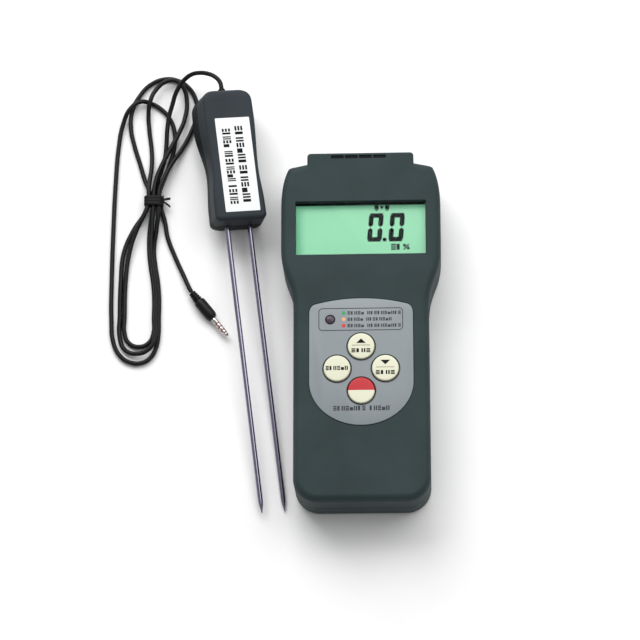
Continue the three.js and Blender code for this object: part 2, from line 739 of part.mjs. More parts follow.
function buildHandle() {
  const outer = handleBlock(0);
  const inner = handleBlock(SHELL);
  const holeEnd = PIN_HOLDER.high;
  const pinHoles = [-1, 1].map((side) => bar(side * PIN_SPREAD, 0, -1, holeEnd, PIN_R + GAP, 12));
  const cordHole = bar(0, 0, HANDLE_LONG - 10, HANDLE_LONG + 1, 2.3, 12);
  const label = block(
    LABEL.x - LABEL.half - 0.1,
    LABEL.x + LABEL.half + 0.1,
    LABEL.low - 0.1,
    LABEL.high + 0.1,
    HANDLE_FRONT - LABEL.sink,
    HANDLE_FRONT + 1,
  );
  let front = cut(outer.intersect(above(GAP / 2)), inner, ...pinHoles, cordHole, label);
  let back = cut(outer.intersect(below(-GAP / 2)), inner, ...pinHoles, cordHole);
  for (const y of HANDLE_SCREWS) {
    front = join(front, post(0, y, GAP / 2, HANDLE_FRONT - 1, 2.4, 10));
    front = cut(front, post(0, y, -1, 6, 1.2, 10));
    const { depth } = handleSize(y / HANDLE_LONG);
    back = join(back, post(0, y, -depth + 1, -GAP / 2, 3, 10));
    back = cut(back, post(0, y, -20, -5, 2.2, 10), post(0, y, -20, 0, 1.2, 10));
    const one = screw(HANDLE_SCREW, 10).translate([0, y, HANDLE_SCREW.z]);
    const metal = { metalness: 1, roughness: 0.35, to: probe };
    place("handle_screw_" + (HANDLE_SCREWS.indexOf(y) + 1), one, colour.metal, metal);
  }
  place("handle_front_shell", front, colour.case, { to: probe });
  place("handle_back_shell", back, colour.caseDark, { to: probe });
  const plate = block(
    LABEL.x - LABEL.half,
    LABEL.x + LABEL.half,
    LABEL.low,
    LABEL.high,
    HANDLE_FRONT - LABEL.sink + 0.1,
    HANDLE_FRONT + 0.1,
  );
  place("handle_label", plate, colour.label, { to: probe });
}

function buildPins() {
  const profile = [
    [0, -PIN_OUT],
    [0.35, -PIN_OUT + 1.2],
    [PIN_R, -PIN_OUT + 5],
    [PIN_R, PIN_IN],
    [0, PIN_IN],
  ];
  const metal = { metalness: 1, roughness: 0.25, to: probe };
  place("pin_left", turned(profile, 12).translate([-PIN_SPREAD, 0, 0]), colour.pin, metal);
  place("pin_right", turned(profile, 12).translate([PIN_SPREAD, 0, 0]), colour.pin, metal);
  const { half, low, high, halfZ } = PIN_HOLDER;
  let holder = block(-half, half, low, high, -halfZ, halfZ);
  for (const side of [-1, 1])
    holder = cut(holder, bar(side * PIN_SPREAD, 0, low - 2, PIN_IN + GAP, PIN_R + 0.1, 12));
  place("pin_holder", holder, colour.label, { to: probe });
}

// The boot that guides the lead out of the handle's top, with a flange behind the shells' wall.
function buildBoot() {
  const top = HANDLE_LONG;
  const profile = [
    [0, top - 4.5],
    [3.2, top - 4.5],
    [3.2, top - 2.4],
    [1.95, top - 2.2],
    [1.95, top + 0.4],
    [1.5, top + BOOT_OUT],
    [0, top + BOOT_OUT],
  ];
  place("lead_boot", turned(profile, 12), colour.lead, { to: probe });
}

// ---- The lead: route points from the boot's end to the plug, by stretch ----
const toTie = [
  [-64.5, 119.6, 15.4],
  [-65.2, 122.7, 15.4],
  [-67.6, 125.7, 14.8],
  [-71, 127.9, 13.4],
  [-75, 129.2, 11.6],
  [-78.9, 129.2, 9.9],
  [-82.3, 127.4, 8.4],
  [-85, 124.3, 7.1],
  [-86.9, 120.8, 5.9],
  [-88.2, 116.6, 4.8],
  [-89.9, 110.6, 3.6],
  [-90.7, 104, 2.9],
  [-91, 97, 2.2],
  [-91.6, 90.6, 1.9],
  [-93.2, 84.6, 1.9],
  [-94.9, 79, 1.95],
  [-96.2, 73.8, 1.95],
];
const loopA = [
  [-98.6, 73.8, 4.25],
  [-98.3, 79, 3.6],
  [-97.7, 85.6, 2.2],
  [-97.9, 94.1, 1.1],
  [-99.2, 104.7, 1.2],
  [-99.7, 112, 2.1],
  [-98.8, 118.4, 3.9],
  [-95.9, 124.8, 3.6],
  [-91.2, 128.6, 3.6],
  [-86.8, 128.7, 3.5],
  [-83.3, 125, 3.4],
  [-81.7, 118.1, 2.4],
  [-82.6, 110, 2.3],
  [-84.8, 103.2, 3.3],
  [-88, 96.2, 4],
  [-92.6, 86.6, 4.35],
  [-95.2, 79.5, 4.35],
  [-96.2, 73.8, 4.25],
];
const loopB = [
  [-98.6, 74, 1.95],
  [-100.7, 79.6, 1.2],
  [-103.2, 88, 1.1],
  [-106, 97, 1.1],
  [-107.9, 106, 1.1],
  [-107.4, 115, 1.1],
  [-104, 122.4, 1.1],
  [-99.1, 127.9, 1.1],
  [-92.6, 130.6, 1.1],
  [-86.6, 129.9, 1.1],
  [-81.6, 126.6, 1.1],
  [-78, 120.8, 1.1],
  [-77, 113, 1.1],
  [-79.4, 104.3, 1.2],
  [-83.8, 94.9, 1.8],
  [-88.6, 86.5, 3.7],
  [-92, 79, 4.25],
  [-93.8, 73.8, 4.25],
];
const loopC = [
  [-97, -6.3, 1.1],
  [-101, -8.4, 1.1],
  [-106, -8, 1.1],
  [-110.8, -4.6, 1.1],
  [-113.9, 2, 1.1],
  [-114.9, 12, 1.1],
  [-115.2, 30, 1.1],
  [-115, 55, 1.1],
  [-114.4, 80, 1.1],
  [-113.4, 97, 1.1],
  [-111.6, 107.6, 1.9],
  [-108, 115.2, 3.6],
  [-103.2, 118.8, 2.8],
  [-98.7, 118.4, 1.1],
  [-93.6, 115.2, 1.1],
  [-89.8, 110.6, 1.1],
  [-87.5, 104.5, 1.1],
  [-87.2, 98.2, 1.1],
  [-88.2, 92, 1.1],
  [-90.2, 85, 1.4],
  [-92.2, 79, 1.85],
  [-93.8, 73.8, 1.95],
];
const toPlug = [
  [-91.6, 64.4, 1.8],
  [-91.3, 60.2, 1.3],
  [-89.8, 52, 1.1],
  [-86.2, 42.4, 1.1],
  [-82.2, 33.4, 1.6],
  [-79.4, 27, 2.5],
  [-78.4, 25, 2.75],
];

// The bundle below and inside the tie: a flat hank, wide and round at its lower end.
function buildHank() {
  const low = { x: -102.3, y: 4, r: 9.6 };
  const shape = new THREE.Shape();
  shape.absarc(low.x, low.y, low.r, Math.PI, Math.PI * 2);
  const right = BUNDLE_X + BUNDLE_HALF - GAP;
  const left = BUNDLE_X - BUNDLE_HALF;
  shape.lineTo(right, TIE_LOW - 12);
  shape.lineTo(right, TIE_HIGH + HANK.past);
  shape.lineTo(left, TIE_HIGH + HANK.past);
  shape.lineTo(left, TIE_LOW - 2);
  shape.lineTo(low.x - low.r, low.y + 36);
  place("lead_hank", slab(shape, HANK.bottom, HANK.top, 6), colour.lead);
}

function buildTie() {
  const half = BUNDLE_HALF + GAP;
  const wide = half + TIE.wall;
  const outside = roundedRect(BUNDLE_X - wide, BUNDLE_X + wide, TIE.bottom, TIE.top, 1.6);
  const inside = roundedRect(
    BUNDLE_X - half,
    BUNDLE_X + half,
    TIE.insideBottom,
    TIE.insideTop,
    1,
  );
  outside.holes.push(inside);
  const geometry = new THREE.ExtrudeGeometry(outside, {
    depth: TIE_HIGH - TIE_LOW,
    bevelEnabled: false,
    curveSegments: 3,
  });
  geometry.rotateX(Math.PI / 2);
  geometry.translate(0, TIE_HIGH, 0);
  place("lead_tie", toSolid(geometry), colour.lead);
}

function buildLead() {
  place("lead_to_tie", tube(toTie, LEAD_R), colour.lead);
  place("lead_loop_a", tube(loopA, LEAD_R), colour.lead);
  place("lead_loop_b", tube(loopB, LEAD_R), colour.lead);
  place("lead_loop_c", tube(loopC, LEAD_R), colour.lead);
  place("lead_to_plug", tube(toPlug, LEAD_R), colour.lead);
}

// ---- The plug: its group's origin is where the lead enters, +Y runs to the tip ----
function buildPlug() {
  const plug = new THREE.Group();
  plug.position.copy(PLUG_START);
  plug.rotation.z = PLUG_TURN - Math.PI / 2;
  part.add(plug);
  const nearGap = 0.05;
  const to = plug;
  const relief = [
    [0, 0.4],
    [1.5, 0.4],
    [2, 5.4],
    [0, 5.4],
  ];
  place("plug_strain_relief", turned(relief, 12), colour.lead, { to });
  const grip = [
    [0, 5.45],
    [2.3, 5.45],
    [2.7, 6.2],
    [2.7, 14.6],
    [2.2, 16],
    [0, 16],
  ];
  place("plug_overmould", turned(grip, 16), colour.lead, { to });
  const metal = { metalness: 1, roughness: 0.25, to };
  const base = 16;
  const insulator = 0.5;
  let y = base + nearGap;
  for (const [name, long] of [
    ["plug_sleeve", 3.2],
    ["plug_ring_rear", 1.4],
    ["plug_ring_front", 1.4],
  ]) {
    place(name, bar(0, 0, y, y + long, PLUG_R, 12), colour.metal, metal);
    y += long + nearGap;
    const collar = bar(0, 0, y, y + insulator, PLUG_R * 0.96, 12);
    place(name.replace("plug", "insulator"), collar, colour.red, { to });
    y += insulator + nearGap;
  }
  const tip = [
    [0, y],
    [PLUG_R, y],
    [PLUG_R, y + 0.9],
    [PLUG_R * 0.68, y + 1.6],
    [PLUG_R * 0.95, y + 2.3],
    [PLUG_R * 0.3, y + 3.2],
    [0, y + 3.3],
  ];
  place("plug_tip", turned(tip, 12), colour.metal, metal);
}

buildFrontCover();
buildBackCover();
buildBatteryDoor();
buildEndPlate();
buildJack();
buildDisplay();
buildPanel();
buildKeys();
buildKeyMat();
buildIndicator();
buildBoard();
buildScrews();
buildCells();
buildContacts();
buildHandle();
buildPins();
buildBoot();
buildLead();
buildHank();
buildTie();
buildPlug();

export default part;
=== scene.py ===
import math

import bmesh
import bpy
from mathutils import Matrix, Vector


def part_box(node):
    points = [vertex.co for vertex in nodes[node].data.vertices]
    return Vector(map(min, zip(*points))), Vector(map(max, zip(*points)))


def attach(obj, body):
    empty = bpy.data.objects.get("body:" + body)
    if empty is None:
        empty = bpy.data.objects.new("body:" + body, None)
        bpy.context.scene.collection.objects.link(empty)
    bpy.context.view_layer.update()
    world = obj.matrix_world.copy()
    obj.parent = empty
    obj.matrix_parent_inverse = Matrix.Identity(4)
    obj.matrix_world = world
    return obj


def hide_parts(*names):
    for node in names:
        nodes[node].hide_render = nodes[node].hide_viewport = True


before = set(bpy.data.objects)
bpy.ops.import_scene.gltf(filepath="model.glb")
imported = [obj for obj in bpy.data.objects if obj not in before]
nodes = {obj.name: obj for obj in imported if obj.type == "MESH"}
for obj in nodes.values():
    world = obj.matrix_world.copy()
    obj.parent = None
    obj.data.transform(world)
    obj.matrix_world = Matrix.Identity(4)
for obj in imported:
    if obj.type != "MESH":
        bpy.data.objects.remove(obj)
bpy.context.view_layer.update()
MM = 0.001


def corners(node):
    """A CAD node's box in millimetres: its low and high corner."""
    low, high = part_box(node)
    return Vector(low) / MM, Vector(high) / MM


def middle_of(node):
    """The middle of a CAD node's box in millimetres."""
    low, high = corners(node)
    return (low + high) / 2


# ---- Driving sizes, in millimetres: those of the case come from the frame ----
FRONT_LOW, FRONT_HIGH = corners("front_cover")
BACK_HIGH = corners("back_cover")[1]
CASE_BOTTOM = FRONT_LOW.y
NOSE_TOP = FRONT_HIGH.y
CASE_TOP = NOSE_TOP - 4.6
HEAD_HALF = FRONT_HIGH.x
GRIP_HALF = HEAD_HALF - 5.7
SHOULDER_HALF = HEAD_HALF - 3.6
NOSE_HALF = 24.1
NOSE_RISE = 4
THICK = FRONT_HIGH.z
SEAM = FRONT_LOW.z
GRIP_CORNER = 11
FLARE_START = 8
FLARE_END = 38
SHOULDER_BULGE = 57
SHOULDER_PULL = 8
SHOULDER_DROP = 1.6
EDGE_DEEP = 4
EDGE_IN = 3.2
WALL = 2
INSIDE_TOP = THICK - WALL
PANEL_LOW, PANEL_HIGH = corners("keypad_panel")
PANEL_HALF = PANEL_HIGH.x
PANEL_TOP = PANEL_HIGH.z
KEY_R = 5.9
KEY_HOLE_R = 6.35
KEY_FLANGE_R = 7
LED = middle_of("indicator_led")
KEYS = ("key_up", "key_select", "key_down", "key_power")
VIEW_HALF = 29.2
VIEW_LOW = 33.8
VIEW_HIGH = 58.3
FRAME_HALF = 29.5
FRAME_LOW = 33.4
FRAME_HIGH = 58.8
LCD_TOP = 57.85
BAY_HALF = 21.9
BAY_WALL = 24.3
BAY_LOW = -69
BAY_HIGH = -18
BAY_ROOF = 13
DOOR_TONGUE = 1.4
SCREW_HEAD_R = 2.45
PLATE_HOLE_LOW = 7.5
PLATE_HOLE_HIGH = 22
LED_HOLE_R = 2.3
PROBE_FOOT = Vector((-56.45, 53.8, 11))
PROBE_YAW = math.radians(7)
PROBE_PITCH = math.radians(3.8)
PROBE_ROLL = math.radians(14)
HANDLE_LONG = 63.1
HANDLE_FRONT = 10
HANDLE_SCREW_AT = (22, 50)
HANDLE_SCREW_HOLE_R = 2.2
PIN_R = 1.15
PIN_SPREAD = 5.2
PIN_OUT = 134
PIN_IN = 12
LEAD_R = 1.05
PLUG_START = Vector((-78.2, 24.6, 2.75))
PLUG_TURN = math.radians(-51.5)
CREASE = 40          # degrees: sharper edges than this stay sharp
ROUND_STEPS = 9      # facets over a rounded case edge


# ---- Camera, light and floor ----
def add_camera():
    """A long lens above the meter's grip end, a little to its right."""
    back = Vector((0.042, -0.299, 0.953)).normalized()
    right = Vector((0, 1, 0)).cross(back).normalized()
    up = back.cross(right)
    data = bpy.data.cameras.new("camera")
    data.lens = 150
    data.sensor_width = 36
    data.clip_start = 0.05
    data.clip_end = 20
    camera = bpy.data.objects.new("camera", data)
    turn = Matrix((right, up, back)).transposed().to_4x4()
    camera.matrix_world = Matrix.Translation(Vector((31.6, -352.3, 1159.2)) * MM) @ turn
    bpy.context.scene.collection.objects.link(camera)
    bpy.context.scene.camera = camera


def add_area_light(name, place, target, size, power):
    data = bpy.data.lights.new(name, "AREA")
    data.shape = "SQUARE"
    data.size = size
    data.energy = power
    light = bpy.data.objects.new(name, data)
    light.location = place
    light.rotation_euler = (Vector(target) - Vector(place)).to_track_quat("-Z", "Y").to_euler()
    bpy.context.scene.collection.objects.link(light)


def add_studio():
    world = bpy.data.worlds.new("studio")
    world.use_nodes = True
    shade = world.node_tree.nodes["Background"]
    shade.inputs["Color"].default_value = (1, 1, 1, 1)
    shade.inputs["Strength"].default_value = 0.36
    bpy.context.scene.world = world
    bpy.context.scene.view_settings.view_transform = "Standard"
    target = (-0.03, 0.02, 0)
    add_area_light("key_light", (-0.5, 1.25, 1.25), target, 1.4, 27)
    add_area_light("fill_light", (0.7, 0.6, 1.3), target, 1.4, 13)
    mesh = bpy.data.meshes.new("floor")
    half = 3
    level = -0.0002
    mesh.from_pydata([(-half, -half, level), (half, -half, level), (half, half, level), (-half, half, level)],
                     [], [(0, 1, 2, 3)])
    floor = bpy.data.objects.new("floor", mesh)
    bpy.context.scene.collection.objects.link(floor)
    floor.data.materials.append(plain_material("floor_paper", (0.97, 0.97, 0.97), 0.9))


# ---- Materials ----
def new_material(name):
    material = bpy.data.materials.new(name)
    material.use_nodes = True
    tree = material.node_tree
    return material, tree, tree.nodes["Principled BSDF"]


def noise(tree, scale, detail=3, rough=0.5, stretch=None):
    """A noise over the object's own coordinates; scale is in grains a metre."""
    place = tree.nodes.new("ShaderNodeTexCoord")
    out = place.outputs["Object"]
    if stretch:
        mapping = tree.nodes.new("ShaderNodeMapping")
        mapping.inputs["Scale"].default_value = stretch
        tree.links.new(out, mapping.inputs["Vector"])
        out = mapping.outputs["Vector"]
    node = tree.nodes.new("ShaderNodeTexNoise")
    node.inputs["Scale"].default_value = scale
    node.inputs["Detail"].default_value = detail
    node.inputs["Roughness"].default_value = rough
    tree.links.new(out, node.inputs["Vector"])
    return node.outputs["Fac"]


def ramp(tree, factor, stops):
    node = tree.nodes.new("ShaderNodeValToRGB")
    elements = node.color_ramp.elements
    while len(elements) < len(stops):
        elements.new(0.5)
    for element, (at, color) in zip(elements, stops):
        element.position = at
        element.color = (*color, 1)
    tree.links.new(factor, node.inputs["Fac"])
    return node.outputs["Color"]


def bump(tree, shader, height, strength, distance):
    node = tree.nodes.new("ShaderNodeBump")
    node.inputs["Strength"].default_value = strength
    node.inputs["Distance"].default_value = distance
    tree.links.new(height, node.inputs["Height"])
    tree.links.new(node.outputs["Normal"], shader.inputs["Normal"])


def spread_value(tree, factor, low, high, start=0.0, end=1.0):
    """Maps a factor that runs from start to end onto low to high."""
    node = tree.nodes.new("ShaderNodeMapRange")
    values = {"From Min": start, "From Max": end, "To Min": low, "To Max": high}
    for name, value in values.items():
        node.inputs[name].default_value = value
    tree.links.new(factor, node.inputs["Value"])
    return node.outputs["Result"]


def shaded(color, factor):
    return tuple(min(1, c * factor) for c in color)


def mottled(name, color, rough, grain=2600, depth=0.00006, strength=0.25, contrast=0.12, shine=0.3):
    """A moulded or printed surface: a fine grain, a slow change of tone and of gloss."""
    material, tree, shader = new_material(name)
    slow = noise(tree, 38, detail=4)
    tone = ramp(tree, slow, [(0.3, shaded(color, 1 - contrast)), (0.7, shaded(color, 1 + contrast))])
    tree.links.new(tone, shader.inputs["Base Color"])
    tree.links.new(spread_value(tree, noise(tree, 400), rough - 0.06, rough + 0.08),
                   shader.inputs["Roughness"])
    shader.inputs["Specular IOR Level"].default_value = shine
    bump(tree, shader, noise(tree, grain, detail=2), strength, depth)
    return material


def plain_material(name, color, rough):
    return mottled(name, color, rough, grain=300, depth=0.0001, strength=0.05, contrast=0.01)


def case_plastic(name, color, rough):
    """Case plastic: the moulded grain, with faint rubbed patches that are a little shinier."""
    material = mottled(name, color, rough, shine=0.1)
    tree = material.node_tree
    shader = tree.nodes["Principled BSDF"]
    rubbed = spread_value(tree, noise(tree, 90, detail=5, rough=0.6), rough, rough - 0.1, 0.55, 0.75)
    tree.links.new(rubbed, shader.inputs["Roughness"])
    return material


def brushed_metal(name, color, rough, stretch=(1, 30, 30)):
    material, tree, shader = new_material(name)
    lines = noise(tree, 900, detail=3, stretch=stretch)
    tone = ramp(tree, lines, [(0.3, shaded(color, 0.82)), (0.7, shaded(color, 1.1))])
    tree.links.new(tone, shader.inputs["Base Color"])
    tree.links.new(spread_value(tree, lines, rough - 0.05, rough + 0.1), shader.inputs["Roughness"])
    shader.inputs["Metallic"].default_value = 1.0
    bump(tree, shader, lines, 0.1, 0.00002)
    return material


def clear_plastic(name):
    material, tree, shader = new_material(name)
    shader.inputs["Base Color"].default_value = (0.97, 1, 0.98, 1)
    shader.inputs["Transmission Weight"].default_value = 1.0
    shader.inputs["IOR"].default_value = 1.15
    shader.inputs["Specular IOR Level"].default_value = 0.25
    tree.links.new(spread_value(tree, noise(tree, 60), 0.0, 0.008), shader.inputs["Roughness"])
    return material


def lcd_material():
    """The lit display: pale green, with painted shade: darker towards its left and upper edges, where the
    window's walls shade it.
    """
    material, tree, shader = new_material("lcd_green")
    place = tree.nodes.new("ShaderNodeTexCoord")
    split = tree.nodes.new("ShaderNodeSeparateXYZ")
    tree.links.new(place.outputs["Object"], split.inputs["Vector"])

    def ease(axis, start, end):
        node = tree.nodes.new("ShaderNodeMapRange")
        node.interpolation_type = "SMOOTHSTEP"
        node.inputs["From Min"].default_value = start * MM
        node.inputs["From Max"].default_value = end * MM
        tree.links.new(split.outputs[axis], node.inputs["Value"])
        return node.outputs["Result"]

    # Painted shade: the green darkens over the last few millimetres at the left and upper edges, as if shaded
    # by the window's walls.
    painted_shade_fade = tree.nodes.new("ShaderNodeMath")
    painted_shade_fade.operation = "MULTIPLY"
    tree.links.new(ease("X", VIEW_HALF * -1.0, VIEW_HALF * -0.82), painted_shade_fade.inputs[0])
    tree.links.new(ease("Y", LCD_TOP, LCD_TOP - 3.5), painted_shade_fade.inputs[1])
    tone = ramp(tree, painted_shade_fade.outputs["Value"], [(0.0, (0.14, 0.48, 0.275)), (1.0, (0.255, 0.605, 0.38))])
    tree.links.new(tone, shader.inputs["Base Color"])
    tree.links.new(tone, shader.inputs["Emission Color"])
    shader.inputs["Emission Strength"].default_value = 0.2
    shader.inputs["Roughness"].default_value = 0.4
    bump(tree, shader, noise(tree, 1500), 0.05, 0.00002)
    return material


# ---- Mesh tools: all in millimetres, turned into metres when a piece is made ----
def piece(name, verts, faces, material, body, slot, place=None, replaces=(), sharp=35):
    """One smooth-shaded piece on a body, which stands for the CAD nodes in replaces."""
    mesh = bpy.data.meshes.new(name)
    spots = [Vector(v) for v in verts]
    if place is not None:
        spots = [place @ v for v in spots]
    mesh.from_pydata([v * MM for v in spots], [], faces)
    mesh.materials.append(material)
    tidy(mesh, sharp)
    obj = bpy.data.objects.new(name, mesh)
    bpy.context.scene.collection.objects.link(obj)
    if body:
        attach(obj, body)
    if replaces:
        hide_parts(*replaces)
    return obj


def tidy(mesh, sharp):
    """Outward faces, smooth shading, and sharp edges past the given angle."""
    bm = bmesh.new()
    bm.from_mesh(mesh)
    bmesh.ops.remove_doubles(bm, verts=bm.verts, dist=1e-7)
    bmesh.ops.recalc_face_normals(bm, faces=bm.faces)
    bm.to_mesh(mesh)
    bm.free()
    mesh.polygons.foreach_set("use_smooth", [True] * len(mesh.polygons))
    mesh.set_sharp_from_angle(angle=math.radians(sharp))


def loft(rings, cap=True):
    """Verts and faces of a skin over closed rings with the same number of points."""
    count = len(rings[0])
    verts = [p for ring in rings for p in ring]
    faces = []
    for i in range(len(rings) - 1):
        for j in range(count):
            k = (j + 1) % count
            faces.append((i * count + j, i * count + k, (i + 1) * count + k, (i + 1) * count + j))
    if cap:
        faces.append(tuple(reversed(range(count))))
        faces.append(tuple(range((len(rings) - 1) * count, len(rings) * count)))
    return verts, faces


def turned(profile, sides=48, axis="Y"):
    """A piece spun about an axis through the origin, from [radius, height] pairs."""
    rings = []
    for r, h in profile:
        ring = []
        for i in range(sides):
            angle = 2 * math.pi * i / sides
            a, b = max(r, 0.01) * math.cos(angle), max(r, 0.01) * math.sin(angle)
            ring.append((a, h, b) if axis == "Y" else (a, b, h))
        rings.append(ring)
    return loft(rings)


def prism(outline, low, high):
    return loft([[(x, y, low) for x, y in outline], [(x, y, high) for x, y in outline]])


def circle(x, y, r, sides=48):
    return [(x + r * math.cos(2 * math.pi * i / sides), y + r * math.sin(2 * math.pi * i / sides))
            for i in range(sides)]


def corner_arc(x, y, r, start, steps):
    """A quarter circle about (x, y) that begins at start degrees."""
    angles = [math.radians(start + 90 * i / steps) for i in range(steps + 1)]
    return [(x + r * math.cos(angle), y + r * math.sin(angle)) for angle in angles]


def rect(x0, x1, y0, y1, r=0.0, steps=6):
    """A rectangle's outline, its corners rounded to r."""
    if not r:
        return [(x0, y0), (x1, y0), (x1, y1), (x0, y1)]
    centres = ((x1 - r, y0 + r, -90), (x1 - r, y1 - r, 0), (x0 + r, y1 - r, 90), (x0 + r, y0 + r, 180))
    return [point for x, y, start in centres for point in corner_arc(x, y, r, start, steps)]


def box_tool(x0, x1, y0, y1, z0, z1, r=0.0):
    return prism(rect(x0, x1, y0, y1, r), z0, z1)


def apply_modifiers(obj):
    """Turns what the modifiers show into the mesh itself."""
    graph = bpy.context.evaluated_depsgraph_get()
    made = bpy.data.meshes.new_from_object(obj.evaluated_get(graph))
    obj.modifiers.clear()
    old = obj.data
    obj.data = made
    bpy.data.meshes.remove(old)


def carve(obj, tools, operation="DIFFERENCE"):
    """Cuts or joins each tool, a (verts, faces) pair, into obj."""
    for verts, faces in tools:
        tool = piece("tool", verts, faces, obj.data.materials[0], None, None)
        modifier = obj.modifiers.new("carve", "BOOLEAN")
        modifier.operation = operation
        modifier.solver = "EXACT"
        modifier.object = tool
        apply_modifiers(obj)
        bpy.data.objects.remove(tool)


def soften(obj, width, segments=2, angle=50):
    """Rounds the sharp edges that the cuts left."""
    modifier = obj.modifiers.new("soft_edges", "BEVEL")
    modifier.width = width * MM
    modifier.segments = segments
    modifier.limit_method = "ANGLE"
    modifier.angle_limit = math.radians(angle)
    modifier.harden_normals = False
    apply_modifiers(obj)
    tidy(obj.data, CREASE)
    flatten(obj)


def flatten(obj):
    """Weights the normals by area, so a large face shades flat beside its rounded edges."""
    modifier = obj.modifiers.new("flat_faces", "WEIGHTED_NORMAL")
    modifier.mode = "FACE_AREA"
    modifier.weight = 100
    modifier.keep_sharp = True
    apply_modifiers(obj)


def flat_marks(name, outlines, low, high, material, body, slot, place=None):
    """Thin printed or inlaid marks, all one piece."""
    verts, faces = [], []
    for outline in outlines:
        v, f = prism(outline, low, high)
        faces += [tuple(i + len(verts) for i in face) for face in f]
        verts += v
    return piece(name, verts, faces, material, body, slot, place=place)


def stand_in_mark(kind, x, y, wide, tall):
    """One mark of a blank row: a block, two uprights, three bars or a low block."""
    if kind == 1:
        return [rect(x, x + wide * 0.38, y, y + tall), rect(x + wide * 0.62, x + wide, y, y + tall)]
    if kind == 2:
        return [rect(x, x + wide, y + tall * at, y + tall * (at + 0.24)) for at in (0, 0.38, 0.76)]
    if kind == 3:
        return [rect(x, x + wide, y, y + tall * 0.7)]
    return [rect(x, x + wide, y, y + tall)]


def stand_in_words(x0, y0, height, lengths, pitch=1.0, gap=0.2):
    """Rows of blank marks where the real print has words: lengths counts each word's marks."""
    outlines = []
    x = x0
    count = 0
    for length in lengths:
        for _ in range(length):
            kind = (2, 0, 1, 2, 3, 1, 0)[count % 7]
            wide = pitch * (1 - gap) * (0.62 if kind == 0 else 1)
            outlines += stand_in_mark(kind, x, y0, wide, height)
            x += pitch
            count += 1
        x += pitch * 0.8
    return outlines


# ---- The lead: its whole route, by stretch, from the boot to the plug ----
TO_TIE = [
    (-64.5, 119.6, 15.4), (-65.2, 122.7, 15.4), (-67.6, 125.7, 14.8), (-71, 127.9, 13.4),
    (-75, 129.2, 11.6), (-78.9, 129.2, 9.9), (-82.3, 127.4, 8.4), (-85, 124.3, 7.1), (-86.9, 120.8, 5.9),
    (-88.2, 116.6, 4.8), (-89.9, 110.6, 3.6), (-90.7, 104, 2.9), (-91, 97, 2.2), (-91.6, 90.6, 1.9),
    (-93.2, 84.6, 1.9), (-94.9, 79, 1.95), (-96.2, 73.8, 1.95),
]
FIRST_TURN = [
    (-96.3, 69, 1.95), (-97, 64, 1.8), (-98.1, 55, 1.3), (-98.2, 46, 1.1), (-97.4, 38, 1.1),
    (-96.1, 30, 1.1), (-95.4, 21.6, 1.1), (-95.4, 13, 1.1), (-95.4, 6, 1.1), (-97.4, 1.3, 1.1),
    (-102.1, -0.7, 1.1), (-106.8, 1.3, 1.1), (-108.8, 6, 1.1), (-108.9, 14, 1.1), (-108.8, 30, 1.1),
    (-107.3, 44, 1.9), (-104, 55, 3.1), (-100.2, 63, 4.1), (-98.7, 68, 4.25),
]
LOOP_A = [
    (-98.6, 73.8, 4.25), (-98.3, 79, 3.6), (-97.7, 85.6, 2.2), (-97.9, 94.1, 1.1), (-99.2, 104.7, 1.2),
    (-99.7, 112, 2.1), (-98.8, 118.4, 3.9), (-95.9, 124.8, 3.6), (-91.2, 128.6, 3.6), (-86.8, 128.7, 3.5),
    (-83.3, 125, 3.4), (-81.7, 118.1, 2.4), (-82.6, 110, 2.3), (-84.8, 103.2, 3.3), (-88, 96.2, 4),
    (-92.6, 86.6, 4.35), (-95.2, 79.5, 4.35), (-96.2, 73.8, 4.25),
]
SECOND_TURN = [
    (-96.2, 69, 4.25), (-96.6, 62, 4.1), (-97, 54, 3.4), (-97.1, 46, 3.1), (-96.2, 38, 3.1),
    (-95, 30, 3.1), (-94.3, 21.6, 3.1), (-94.3, 13, 3.1), (-94.3, 5, 3.1), (-96.7, -1.7, 3),
    (-102.6, -4.3, 2.3), (-108.5, -1.9, 1.4), (-110.9, 4, 1.1), (-111.1, 14, 1.1), (-111, 30, 1.1),
    (-109.8, 45, 1.1), (-105.4, 56, 1.1), (-100.7, 63.5, 1.5), (-98.9, 68.5, 1.9),
]
LOOP_B = [
    (-98.6, 74, 1.95), (-100.7, 79.6, 1.2), (-103.2, 88, 1.1), (-106, 97, 1.1), (-107.9, 106, 1.1),
    (-107.4, 115, 1.1), (-104, 122.4, 1.1), (-99.1, 127.9, 1.1), (-92.6, 130.6, 1.1), (-86.6, 129.9, 1.1),
    (-81.6, 126.6, 1.1), (-78, 120.8, 1.1), (-77, 113, 1.1), (-79.4, 104.3, 1.2), (-83.8, 94.9, 1.8),
    (-88.6, 86.5, 3.7), (-92, 79, 4.25), (-93.8, 73.8, 4.25),
]
THIRD_TURN = [
    (-93.8, 69, 4.2), (-94.1, 62, 3.9), (-94.9, 55, 2.4), (-96, 46, 1.1), (-95.2, 38, 1.1),
    (-93.9, 30, 1.1), (-93.2, 21.6, 1.1), (-93.2, 13, 1.1), (-93.2, 5, 1.1), (-94.3, -1.5, 1.1),
]
LOOP_C = [
    (-97, -6.3, 1.1), (-101, -8.4, 1.1), (-106, -8, 1.1), (-110.8, -4.6, 1.1), (-113.9, 2, 1.1),
    (-114.9, 12, 1.1), (-115.2, 30, 1.1), (-115, 55, 1.1), (-114.4, 80, 1.1), (-113.4, 97, 1.1),
    (-111.6, 107.6, 1.9), (-108, 115.2, 3.6), (-103.2, 118.8, 2.8), (-98.7, 118.4, 1.1),
    (-93.6, 115.2, 1.1), (-89.8, 110.6, 1.1), (-87.5, 104.5, 1.1), (-87.2, 98.2, 1.1), (-88.2, 92, 1.1),
    (-90.2, 85, 1.4), (-92.2, 79, 1.85), (-93.8, 73.8, 1.95),
]
TO_PLUG = [
    (-93.7, 69, 1.9), (-92.7, 64.8, 1.7), (-91.3, 60.2, 1.3), (-89.8, 52, 1.1), (-86.2, 42.4, 1.1),
    (-82.2, 33.4, 1.6), (-79.4, 27, 2.5), (-78.4, 25, 2.75),
]


